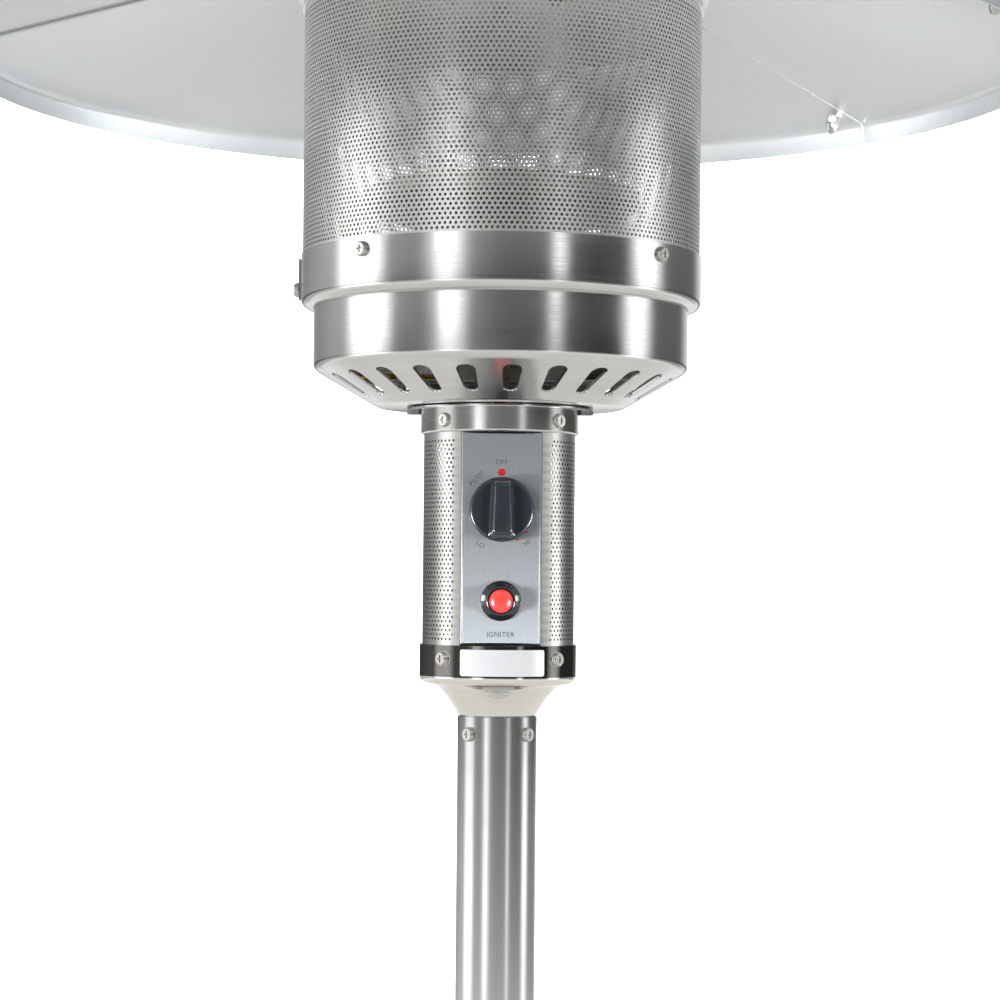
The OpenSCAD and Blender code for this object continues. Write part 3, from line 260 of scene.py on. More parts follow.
# Aluminium sheet, rolled satin: soft broad reflections with faint drawn lines
SATIN = Finish("satin_aluminium_sheet", "reflector_aluminium", "#CCD1D6", "#CBCCCA", 1.0, 0.32, 0.05,
               Grain.RADIAL, 0.9, 260, 160, 0.0001)
# Steel with bright zinc plating: bluish, cloudy and a little grainy
ZINC = Finish("zinc_plated_steel", "zinc_steel", "#C4C8CC", "#A2A8AE", 1.0, 0.34, 0.1,
              Grain.SPECKLE, 1.5, 1.5, 14, 0.003)
# Stainless screw heads, tumbled bright
SCREW = Finish("tumbled_stainless_screw", "fasteners", "#CFCECB", "#B2B0AC", 1.0, 0.26, 0.06,
               Grain.SPECKLE, 0.8, 0.8, 5, 0.002)
# Mild steel with grey powder coat: matt with orange peel
POWDER = Finish("powder_coated_steel", "bracket_paint", "#55585B", "#4A4D50", 0.0, 0.5, 0.08,
                Grain.SPECKLE, 1.8, 1.8, 25, 0.02)
# Moulded polypropylene: dark, satin, with a fine spark-eroded texture
WHEEL_PP = Finish("moulded_polypropylene", "wheel_plastic", "#2B2D2F", "#232526", 0.0, 0.45, 0.08,
                  Grain.SPECKLE, 0.9, 0.9, 18, 0.02)
# Solid rubber: black-grey, dull and dusty
RUBBER = Finish("solid_rubber", "tyre_rubber", "#1C1C1C", "#2A2927", 0.0, 0.78, 0.1,
                Grain.SPECKLE, 1.2, 1.2, 22, 0.03)
# Turned brass, dulled by handling: yellow with brown clouds
BRASS = Finish("turned_brass", "valve_brass", "#C9A24C", "#A57F35", 1.0, 0.3, 0.1,
               Grain.SPECKLE, 1.0, 1.0, 9, 0.002)
# Drawn steel rod of the valve's stem
STEM = Finish("drawn_steel_rod", "stem_steel", "#B4B6B8", "#96999C", 1.0, 0.28, 0.08,
              Grain.SPECKLE, 0.7, 0.7, 6, 0.002)
# Glossy phenolic of the knob: blue-black with a clear shine and faint moulding waves
KNOB = Finish("glossy_phenolic", "knob_plastic", "#151B20", "#10161A", 0.0, 0.2, 0.04,
              Grain.SPECKLE, 3.0, 3.0, 12, 0.0006, coat=0.3)
# Glossy ABS of the igniter's bezel
BEZEL = Finish("glossy_abs", "bezel_plastic", "#15181B", "#101316", 0.0, 0.16, 0.04,
               Grain.SPECKLE, 3.0, 3.0, 10, 0.002, coat=0.4)
# Red ABS of the button, moulded smooth
BUTTON = Finish("red_abs", "button_plastic", "#CE2F2A", "#C42A25", 0.0, 0.2, 0.04,
                Grain.SPECKLE, 2.5, 2.5, 8, 0.002, coat=0.3)
# Black nylon of the sealed units behind the panel
NYLON = Finish("moulded_nylon", "inner_plastic", "#303336", "#26292B", 0.0, 0.42, 0.08,
               Grain.SPECKLE, 0.8, 0.8, 10, 0.01)
# Glazed alumina of the electrode
CERAMIC = Finish("glazed_alumina", "electrode_ceramic", "#EEEAE0", "#E0DACB", 0.0, 0.2, 0.05,
                 Grain.SPECKLE, 2.0, 2.0, 8, 0.002, coat=0.4)
# Gloss vinyl of the blank label: white with a faint cloudiness
VINYL = Finish("white_vinyl_film", "polished_steel", "#D4D6D8", "#CED0D2", 0.0, 0.3, 0.05,
               Grain.SPECKLE, 1.0, 1.0, 20, 0.001)
# Screen-printed inks on the panel: flat with slightly uneven cover
GREY_INK = Finish("grey_screen_ink", "brushed_panel", "#4A4D53", "#5A5D62", 0.0, 0.55, 0.05,
                  Grain.SPECKLE, 0.4, 0.4, 2, 0.001)
RED_INK = Finish("red_screen_ink", "brushed_panel", "#C9181C", "#B51418", 0.0, 0.45, 0.05,
                 Grain.SPECKLE, 0.4, 0.4, 2, 0.001)


def only(kind: type, geom: Iterable[Any]) -> list[Any]:
    """Picks the points, the edges or the faces out of what an operator gave back."""
    return [item for item in geom if isinstance(item, kind)]


class Shell:
    """One shell of sheet or solid, shaped in millimetres."""

    def __init__(self) -> None:
        """Starts an empty mesh."""
        self.bm = bmesh.new()

    def draw(self, corners: Sequence[Corner], closed: bool = False, arc: int = 6) -> "Shell":
        """Draws a line in the XZ plane and rounds its corners.

        Args:
            corners: (x, z) of each corner, or (x, z, setback) of a rounded one.
            closed: Whether the last corner joins the first.
            arc: Segments in a rounded corner.
        Returns:
            The shell itself.
        """
        points = [self.bm.verts.new((c[0], 0.0, c[1])) for c in corners]
        ends = points[1:] + (points[:1] if closed else [])
        for start, end in zip(points, ends):
            self.bm.edges.new((start, end))
        for point, corner in zip(points, corners):
            if len(corner) > 2:
                self.bevel([point], corner[2], arc)
        return self

    def bevel(self, geom: Sequence[BMVert | BMEdge], offset: float, segments: int) -> "Shell":
        """Rounds edges, or the corners at some points.

        Args:
            geom: The edges or the points.
            offset: How far the rounding sets back.
            segments: Segments of the rounding.
        Returns:
            The shell itself.
        """
        affect = "EDGES" if isinstance(geom[0], BMEdge) else "VERTICES"
        bmesh.ops.bevel(self.bm, geom=geom, offset=offset, offset_type="OFFSET", segments=segments,
                        profile=0.5, affect=affect, material=-1)
        return self

    def grow(self, edges: Iterable[BMEdge]) -> tuple[list[BMEdge], list[BMVert]]:
        """Extrudes edges where they are.

        Args:
            edges: The edges to extrude.
        Returns:
            The new border's edges and its points.
        """
        made = bmesh.ops.extrude_edge_only(self.bm, edges=list(edges))["geom"]
        return only(BMEdge, made), only(BMVert, made)

    def turn(self, sweep: float = 360.0, steps: int = FULL_TURN,
             edges: Iterable[BMEdge] | None = None) -> list[BMEdge]:
        """Spins edges round the Z axis into a surface.

        Args:
            sweep: Angle of the spin.
            steps: Segments of the spin.
            edges: The edges to spin, or all of them.
        Returns:
            The edges at the end of the spin.
        """
        picked = list(self.bm.edges if edges is None else edges)
        points = list(dict.fromkeys(v for e in picked for v in e.verts))
        out = bmesh.ops.spin(self.bm, geom=points + picked, cent=(0, 0, 0), axis=(0, 0, 1),
                             dvec=(0, 0, 0), angle=math.radians(sweep), steps=steps,
                             use_merge=sweep >= 360, use_duplicate=False)
        return only(BMEdge, out["geom_last"])

    def array(self, count: int, step: Sequence[float] = (0, 0, 0), angle: float = 0.0) -> "Shell":
        """Repeats the whole shell in a row or round the Z axis.

        Args:
            count: How many there are in the end.
            step: Shift from one to the next.
            angle: Turn from one to the next.
        Returns:
            The shell itself.
        """
        if count > 1:
            geom = self.bm.verts[:] + self.bm.edges[:] + self.bm.faces[:]
            bmesh.ops.spin(self.bm, geom=geom, cent=(0, 0, 0), axis=(0, 0, 1), dvec=step,
                           angle=math.radians(angle) * (count - 1), steps=count - 1, use_duplicate=True)
        return self

    def weld(self) -> "Shell":
        """Makes one point of those that coincide."""
        bmesh.ops.remove_doubles(self.bm, verts=self.bm.verts[:], dist=WELD)
        return self

    def seal(self, wall: float = 0.0) -> "Shell":
        """Welds the shell, points its faces outwards and gives a sheet its thickness.

        Args:
            wall: Thickness of the sheet, measured inwards, or 0 for a solid.
        Returns:
            The shell itself.
        """
        self.weld()
        bmesh.ops.recalc_face_normals(self.bm, faces=self.bm.faces[:])
        if wall:
            bmesh.ops.solidify(self.bm, geom=self.bm.faces[:], thickness=wall)
        return self

    def bend(self, place: Callable[[Vector], Vector]) -> "Shell":
        """Moves every point to where a rule puts it.

        Args:
            place: The rule.
        Returns:
            The shell itself.
        """
        for point in self.bm.verts:
            point.co = place(point.co)
        return self

    def move(self, matrix: Matrix) -> "Shell":
        """Moves the whole shell."""
        bmesh.ops.transform(self.bm, matrix=matrix, verts=self.bm.verts[:])
        return self

    def stamp(self, part: "Shell", places: Iterable[Matrix] = (Matrix.Identity(4),)) -> "Shell":
        """Adds copies of another shell.

        Args:
            part: The shell to copy.
            places: Where each copy goes, or one copy where the shell is.
        Returns:
            The shell itself.
        """
        mesh = bpy.data.meshes.new("stamp")
        part.bm.to_mesh(mesh)
        for place in places:
            start = len(self.bm.verts)
            self.bm.from_mesh(mesh)
            self.bm.verts.ensure_lookup_table()
            bmesh.ops.transform(self.bm, matrix=place, verts=self.bm.verts[start:])
        bpy.data.meshes.remove(mesh)
        return self

    def piece(self, name: str, finish: Finish, body: str = "heater", nodes: Sequence[str] = (),
              sharp: float = 32.0) -> bpy.types.Object:
        """Turns the shell into a finished piece of the heater.

        Args:
            name: Name of the piece.
            finish: What its surface is.
            body: The CAD body that it moves with.
            nodes: The CAD nodes that it stands for.
            sharp: Angle over which an edge stays sharp.
        Returns:
            The new object.
        """
        self.move(Matrix.Scale(MM, 4))
        mesh = bpy.data.meshes.new(name)
        self.bm.to_mesh(mesh)
        self.bm.free()
        mesh.shade_smooth()
        mesh.set_sharp_from_angle(angle=math.radians(sharp))
        mesh.materials.append(finish.material())
        made = add_object(name, mesh)
        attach(made, body)
        if nodes:
            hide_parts(*nodes)
        log.info("%s: %d faces on %s", name, len(mesh.polygons), body)
        return made


def lathed(corners: Sequence[Corner], wall: float = 0.0, closed: bool = False, steps: int = FULL_TURN,
           arc: int = 6) -> Shell:
    """Makes a turned shell from its profile.

    Args:
        corners: (radius, height) of the profile's corners, or (radius, height, setback).
        wall: Thickness of a sheet, or 0 where the profile bounds a solid.
        closed: Whether the profile joins up.
        steps: Segments of the full turn.
        arc: Segments in a rounded corner.
    Returns:
        The shell round the Z axis.
    """
    shell = Shell().draw(corners, closed, arc)
    shell.turn(steps=steps)
    return shell.seal(wall)


def block(size: Sequence[float], edge: float) -> Shell:
    """Makes a block with rounded edges round the origin.

    Args:
        size: Its three lengths.
        edge: Radius of its edges.
    Returns:
        The shell.
    """
    shell = Shell()
    bmesh.ops.create_cube(shell.bm, size=1, matrix=Matrix.Diagonal((*size, 1)))
    return shell.bevel(shell.bm.edges[:], edge, 3)


def raised(corners: Sequence[Corner], levels: Sequence[Corner], edge: float) -> Shell:
    """Makes a solid that stands out of the XZ plane towards -Y.

    Args:
        corners: (x, z, setback) of the outline's corners.
        levels: For each level, how far it stands out, and its width and height as shares of the outline's.
        edge: Rounding of the front's edge.
    Returns:
        The shell.
    """
    shell = Shell().draw(corners, True)
    front = bmesh.ops.contextual_create(shell.bm, geom=shell.bm.edges[:])["faces"]
    rim: list[BMEdge] = []
    last = (0.0, 1.0, 1.0)
    for level in levels:
        grown = bmesh.ops.extrude_face_region(shell.bm, geom=front)["geom"]
        if rim:
            bmesh.ops.delete(shell.bm, geom=front, context="FACES_ONLY")
        front, rim, points = (only(kind, grown) for kind in (BMFace, BMEdge, BMVert))
        bmesh.ops.scale(shell.bm, vec=(level[1] / last[1], 1, level[2] / last[2]), verts=points)
        bmesh.ops.translate(shell.bm, vec=(0, last[0] - level[0], 0), verts=points)
        last = level
    return shell.bevel(rim, edge, 4).seal()


def spun(angle: float, axis: str = "Z") -> Matrix:
    """Turns a thing round an axis by an angle in degrees."""
    return Matrix.Rotation(math.radians(angle), 4, axis)


def upright(angle: float, radius: float, height: float) -> Matrix:
    """Moves a thing out along a direction, at a radius and a height."""
    return spun(angle) @ Matrix.Translation((radius, 0, height))


def radial(angle: float, radius: float, height: float) -> Matrix:
    """Points +Z outwards along a direction, at a radius and a height."""
    return upright(angle, radius, height) @ spun(90, "Y")


def rolled(radius: float, start: float = 0.0) -> Callable[[Vector], Vector]:
    """Makes the rule that rolls a flat sheet in the XZ plane round the Z axis.

    Args:
        radius: Radius of the sheet; what stands out of the plane towards +Y comes to lie inside.
        start: Where x = 0 comes to lie, in radians from -Y.
    Returns:
        The rule, for a shell to bend by.
    """
    def rule(flat: Vector) -> Vector:
        """Places one point of the sheet."""
        angle, reach = flat.x / radius + start, radius - flat.y
        return Vector((reach * math.sin(angle), -reach * math.cos(angle), flat.z))

    return rule


def trapezium(foot: Corner, top: Corner) -> list[Corner]:
    """Gives the four corners of an even-sided outline from the lower and the upper right ones."""
    return [(-foot[0], *foot[1:]), foot, top, (-top[0], *top[1:])]


def dome(radius: float, foot: float, rise: float, step: int) -> list[Corner]:
    """Gives the profile of a dome, from its edge to its top.

    Args:
        radius: Radius of its edge.
        foot: Height of its edge.
        rise: Height of its top over the edge, negative where it hangs down.
        step: Angle from one corner of the profile to the next.
    Returns:
        The corners.
    """
    turns = [math.radians(a) for a in range(0, 91, step)]
    return [(radius * math.cos(t), foot + rise * math.sin(t)) for t in turns]


AT_HEAD = Matrix.Translation((0, 0, HEAD))
# Turns a lathed piece so that its axis points out of the control panel
OUTWARDS = spun(90, "X")


@dataclass(frozen=True)
class PanScrew:
    """Pan-head screw with a cross recess; its head stands on z = 0.

    Attributes:
        radius: Radius of the head.
        height: Height of the head.
        shank: Radius of the shank.
        length: Length of the shank.
        slot: Half width of a wing of the recess.
        wing: Half length of a wing.
        sink: Depth of the recess.
        taper: Size of the recess's floor as a share of its mouth's.
        rings: Rings of the head, as shares of its radius and of its height.
    """

    radius: float = 5.5
    height: float = 3.6
    shank: float = 2.3
    length: float = 5.0
    slot: float = 0.55
    wing: float = 2.7
    sink: float = 1.5
    taper: float = 0.75
    rings: tuple[Corner, ...] = ((0.78, 1.0), (0.92, 0.8), (1.0, 0.45), (1.0, 0.0))

    def shell(self) -> Shell:
        """Makes the screw: a grid with a sunk cross, grown out into a dome and down into a shank.

        Returns:
            The shell.
        """
        shell = Shell()
        line = [-self.wing, -self.wing / 2, -self.slot, self.slot, self.wing / 2, self.wing]
        cells = len(line) - 1
        bmesh.ops.create_grid(shell.bm, x_segments=cells, y_segments=cells, size=1)

        def spaced(value: float) -> float:
            """Gives a grid line its place."""
            return line[round((value + 1) / 2 * cells)]

        shell.bend(lambda p: Vector((spaced(p.x), spaced(p.y), self.height)))
        cross = [f for f in shell.bm.faces if min(abs(c) for c in f.calc_center_median().xy) < self.slot]
        rim = [e for e in shell.bm.edges if e.is_boundary]
        sunk = only(BMVert, bmesh.ops.extrude_face_region(shell.bm, geom=cross)["geom"])
        bmesh.ops.delete(shell.bm, geom=cross, context="FACES")
        bmesh.ops.translate(shell.bm, vec=(0, 0, -self.sink), verts=sunk)
        bmesh.ops.scale(shell.bm, vec=(self.taper, self.taper, 1), verts=sunk)
        rings = [(self.radius * r, self.height * z) for r, z in self.rings]
        for radius, height in rings + [(self.shank, 0.0), (self.shank, -self.length)]:
            rim, points = shell.grow(rim)
            for point in points:
                point.co = Vector((*(point.co.xy.normalized() * radius), height))
        bmesh.ops.contextual_create(shell.bm, geom=rim)
        return shell.seal()


@dataclass(frozen=True)
class Perforation:
    """Round holes in staggered rows.

    Attributes:
        pitch: Distance between two holes of a row.
        row: Distance between two rows.
        hole: Diameter of a hole.
        sides: Sides of a hole; its cell needs eight.
    """

    pitch: float
    row: float
    hole: float
    sides: int = 8

    def strip(self, columns: int, pairs: int) -> Shell:
        """Makes a flat perforated sheet in the XZ plane from one brick-shaped cell.

        Args:
            columns: Holes in a row.
            pairs: Pairs of rows.
        Returns:
            The sheet, with the first hole at the origin; hole edges are marked as seams.
        """
        shell = Shell()
        bmesh.ops.create_circle(shell.bm, segments=self.sides, radius=self.hole / 2, cap_ends=False,
                                matrix=OUTWARDS)
        for edge in shell.bm.edges:
            edge.seam = True
        edges, points = shell.grow(shell.bm.edges)
        for edge in edges:
            edge.seam = False
        for point in points:
            side = [round(c / self.hole * 2) for c in (point.co.x, point.co.z)]
            point.co = Vector((side[0] * self.pitch / 2, 0, side[1] * self.row / 2))
        shell.array(2, (self.pitch / 2, 0, self.row))
        shell.array(pairs, (0, 0, 2 * self.row))
        shell.weld()
        shell.array(columns, (self.pitch, 0, 0))
        return shell.weld()


class Border(Enum):
    """Border of a flat perforated sheet: its axis, whether it is the lower end, and how deep it is ragged."""

    START = (0, True, 2.5)
    END = (0, False, 2.5)
    FOOT = (2, True, 1.0)
    TOP = (2, False, 1.0)


def stretch(shell: Shell, border: Border, value: float) -> None:
    """Grows a border of a perforated sheet out to a straight edge.

    Args:
        shell: The flat sheet.
        border: Which of its borders.
        value: Where the new edge lies.
    """
    axis, low, depth = border.value
    edges = [e for e in shell.bm.edges if e.is_boundary and not e.seam]
    spots = [v.co[axis] for e in edges for v in e.verts]
    limit = min(spots) if low else max(spots)
    picked = [e for e in edges if all(abs(v.co[axis] - limit) < depth for v in e.verts)]
    for point in shell.grow(picked)[1]:
        point.co[axis] = value


# Steps of a slot's formed edge: share of its height, and how much narrower the slot gets
FORMED_EDGE = ((0.3, 0.9), (0.7, 0.15))


def slotted(outline: Sequence[Corner], arc: int, low: float, high: float, width: Callable[[float], float],
            segments: int, lip: float) -> Shell:
    """Makes one flat field of sheet round a slot, with the slot's edge formed inwards.

    Args:
        outline: (x, z, setback) of the slot's four corners.
        arc: Segments in a corner of the slot.
        low: Lower edge of the field.
        high: Upper edge of the field.
        width: Half width of the field at a height.
        segments: Segments of the lower and upper edges.
        lip: Height of the formed edge.
    Returns:
        The shell in the XZ plane, with its lip towards +Y.
    """
    shell = Shell().draw(outline, True, arc)
    slot = shell.bm.edges[:]
    field = Shell().draw(trapezium((width(low), low), (width(high), high)), True)
    level = [e for e in field.bm.edges if abs(e.verts[0].co.z - e.verts[1].co.z) < WELD]
    sides = [e for e in field.bm.edges if e not in level]
    bmesh.ops.subdivide_edges(field.bm, edges=level, cuts=segments - 1)
    bmesh.ops.subdivide_edges(field.bm, edges=sides, cuts=len(slot) // 2 - segments - 1)
    shell.stamp(field)
    made = bmesh.ops.bridge_loops(shell.bm, edges=shell.bm.edges[:])
    bmesh.ops.subdivide_edges(shell.bm, edges=made["edges"], cuts=2)
    centre = sum((Vector((c[0], 0, c[1])) for c in outline), Vector()) / len(outline)
    spans = [max(c[i] for c in outline) - min(c[i] for c in outline) for i in (0, 1)]
    rim = [e for e in shell.bm.edges if e.is_boundary and e in slot] or slot
    for share, narrow in FORMED_EDGE:
        rim, points = shell.grow(rim)
        bmesh.ops.translate(shell.bm, vec=(0, lip * share, 0), verts=points)
        bmesh.ops.scale(shell.bm, vec=(1 - narrow / spans[0], 1, 1 - narrow / spans[1]), verts=points,
                        space=Matrix.Translation(-centre))
    return shell


@dataclass(frozen=True)
class Joggle:
    """Shape of one panel's edges.

    Attributes:
        ramp: Angle of the ramp up to the lap at the panel's end.
        gap: Open angle behind the ramp.
        step: Height of the lap over the sheet.
        hem: Height of the strip that hangs under the panel's start, or 0 for none.
    """

    ramp: float = 1.0
    gap: float = 0.04
    step: float = 1.4
    hem: float = 1.6


@dataclass
class Reflector:
    """Dished reflector of five lapped panels, with its seam bolts and top cover."""

    radius: float = 406.45
    rim_z: float = 478.6
    rim_h: float = 17.0
    slope: float = 0.275
    wall: float = 1.2
    inner: float = 70.0
    panels: int = 5
    first_seam: float = 38.0
    clear: float = 0.04
    fine: float = 2.0
    lap: float = 4.41
    panel_steps: tuple[int, ...] = (10, 64, 4, 24)
    joggles: tuple[Joggle, ...] = (Joggle(hem=0.0), Joggle(0.9, 0.6), Joggle(), Joggle(),
                                   Joggle(3.2, step=0.45))
    corner: float = 9.0
    crease: float = 5.0
    bolt_rows: tuple[float, ...] = (136.0, 190.0, 385.5)
    bolt_clear: float = 0.1
    bolt_end: float = 2.0
    hub_rim: float = 160.0
    hub_wall: float = 2.0
    cover_r: float = 104.0
    cover_rise: float = 8.4
    cover_gap: float = 0.4
    cover_steps: int = 12

    def sheet_z(self, r: float) -> float:
        """Gives the height of the middle of the sheet at a radius."""
        return self.rim_z + self.rim_h + (self.radius - r) * self.slope + self.wall / 2

    def build(self) -> None:
        """Makes every piece of the reflector."""
        for i in range(self.panels):
            self.panel(i)
        self.bolts()
        rise = self.sheet_z(0) + self.cover_rise
        foot = self.sheet_z(self.cover_r) + 2 * self.wall + self.cover_gap
        shares = [k / self.cover_steps for k in range(self.cover_steps + 1)]
        arch = [(self.cover_r * s, rise - (rise - foot) * s ** 2 + self.wall / 2) for s in shares]
        lathed(arch, self.wall).move(AT_HEAD).piece("reflector_cover", SATIN, nodes=["reflector_cap"])

    def panel(self, i: int) -> None:
        """Makes one panel: its dished sheet, its turned-down rim and the joggled lap over the next.

        Args:
            i: Number of the panel, from 0.
        """
        top = self.wall / 2
        shell = Shell().draw([
            (self.inner, self.sheet_z(self.inner) + top),
            (self.radius, self.sheet_z(self.radius) + top, self.crease),
            (self.radius, self.rim_z)])
        joggle = self.joggles[i]
        sector = 360 / self.panels - joggle.ramp - joggle.gap
        sweeps = (self.fine, sector - self.fine, joggle.ramp, joggle.gap + self.lap)
        end = None
        for sweep, steps in zip(sweeps, self.panel_steps):
            end = shell.turn(sweep, steps, end)
        self.round_rim(shell, 360 / self.panels + self.lap)

        def joggled(point: Vector) -> Vector:
            """Lifts a point of the lap up and out over the next panel.

            Args:
                point: The point of the plain panel.
            Returns:
                Where it comes to lie.
            """
            share = (math.degrees(math.atan2(point.y, point.x)) - sector) / joggle.ramp
            step = joggle.step * min(max(share, 0.0), 1.0)
            reach = 1 + step / point.xy.length
            return Vector((point.x * reach, point.y * reach, point.z + step * (1 - self.slope)))

        shell.bend(joggled).seal(self.wall)
        if joggle.hem:
            shell.stamp(self.hem(joggle.hem))
        shell.move(AT_HEAD @ spun(self.first_seam + self.clear + i * 360 / self.panels))
        shell.piece(f"reflector_sheet_{i + 1}", SATIN, nodes=[f"reflector_panel_{i + 1}"])

    def hem(self, height: float) -> Shell:
        """Makes the strip that hangs under a panel's start.

        Args:
            height: How far it hangs down.
        Returns:
            The shell.
        """
        ends = (self.hub_rim, self.radius - 2 * self.crease)
        strip = Shell().draw([(r, self.sheet_z(r) - self.wall / 2) for r in ends])
        for point in strip.grow(strip.bm.edges)[1]:
            point.co.z -= height
        return strip.seal(self.wall / 2)

    def round_rim(self, shell: Shell, sector: float) -> None:
        """Rounds the lower corners of a panel's rim.

        Args:
            shell: The panel before it has thickness, starting at +X.
            sector: Angle that the panel spans.
        """
        for point in shell.bm.verts:
            if abs(point.co.z - self.rim_z) < WELD:
                angle = math.degrees(math.atan2(point.co.y, point.co.x))
                side = math.radians(min(angle, sector - angle)) * self.radius
                inside = min(max(0.0, self.corner - side), self.corner)
                point.co.z += self.corner - math.sqrt(self.corner ** 2 - inside ** 2)

    def bolts(self) -> None:
        """Makes the seam bolts and the acorn nuts that hang under the seams."""
        stack = 2 * (self.wall + self.bolt_clear)
        head = PanScrew(radius=5.8, height=4.0, shank=3.0, length=stack + self.bolt_end, slot=0.6, wing=2.8,
                        sink=1.6).shell()
        nut = acorn_nut()
        made = Shell()
        lean = Matrix.Rotation(math.atan(self.slope), 4, "Y")
        for i in range(self.panels):
            angle = self.first_seam + self.lap / 2 + i * 360 / self.panels
            for r in self.bolt_rows:
                under = self.hub_wall if r < self.hub_rim else self.bolt_clear
                seat = AT_HEAD @ upright(angle, r, self.sheet_z(r) - self.wall / 2) @ lean
                made.stamp(head, [seat @ Matrix.Translation((0, 0, stack + self.bolt_clear))])
                made.stamp(nut, [seat @ Matrix.Translation((0, 0, -under))])
        made.piece("seam_fasteners", SCREW, nodes=["seam_bolts"])


def acorn_nut(radius: float = 6.2, flat: float = 7.0, length: float = 15.0) -> Shell:
    """Makes an acorn nut whose face is at z = 0 and whose dome hangs down.

    Args:
        radius: Radius over the hexagon's corners.
        flat: Height of the hexagon.
        length: Height over the dome.
    Returns:
        The shell.
    """
    face, shoulder, cap = (share * radius for share in (0.96, 0.9, 0.8))
    root = 0.4 - flat
    nut = lathed([(0, 0), (face, 0), (radius, -0.5), (radius, 0.7 - flat), (shoulder, -flat), (0, -flat)],
                 steps=6)
    return nut.stamp(lathed([(0, root), (cap, root), *dome(cap, -flat, flat - length, 15)], steps=24))


@dataclass
class EmitterScreen:
    """Perforated screen round the burner, with its cap."""

    radius: float = 149.4
    wall: float = 0.8
    foot: float = 313.0
    top: float = 527.0
    first_row: float = 346.6
    columns: int = 240
    pairs: int = 27
    row: float = 3.3
    hole: float = 2.3
    quarters: tuple[str, ...] = ("front", "right", "back", "left")
    cap_h: float = 12.0
    cap_wall: float = 1.2

    def build(self) -> None:
        """Makes the screen in four quarters and the cap on it."""
        pitch = 2 * math.pi * self.radius / self.columns
        count = self.columns // len(self.quarters)
        for k, side in enumerate(self.quarters):
            shell = Perforation(pitch, self.row, self.hole).strip(count, self.pairs)
            shell.move(Matrix.Translation(((k * count - count / 2) * pitch, 0, self.first_row)))
            stretch(shell, Border.FOOT, self.foot)
            stretch(shell, Border.TOP, self.top)
            shell.bend(rolled(self.radius)).seal(self.wall).move(AT_HEAD)
            shell.piece(f"emitter_screen_{side}", PERFORATED, nodes=["emitter_screen"])
        self.cap()

    def cap(self) -> None:
        """Makes the cap: a skirt inside the screen, a lip on its edge and a flange on top."""
        plug, lip, neck, flange = (self.radius + out for out in (-1.0, 1.6, 0.6, 6.2))
        bore, ledge = plug - self.cap_wall, self.top + self.cap_wall
        foot, high = self.top - self.cap_h, self.top + self.cap_h
        under = high - self.cap_wall
        cap = lathed([
            (bore, foot), (plug, foot), (plug, self.top), (lip, self.top, 0.3), (lip, ledge, 0.3),
            (neck, ledge), (neck, under), (flange, under, 0.4), (flange, high, 0.4), (0, high), (0, under),
            (bore, under)], closed=True, arc=3)
        cap.move(AT_HEAD).piece("screen_cap_plate", POLISHED, nodes=["screen_cap"])


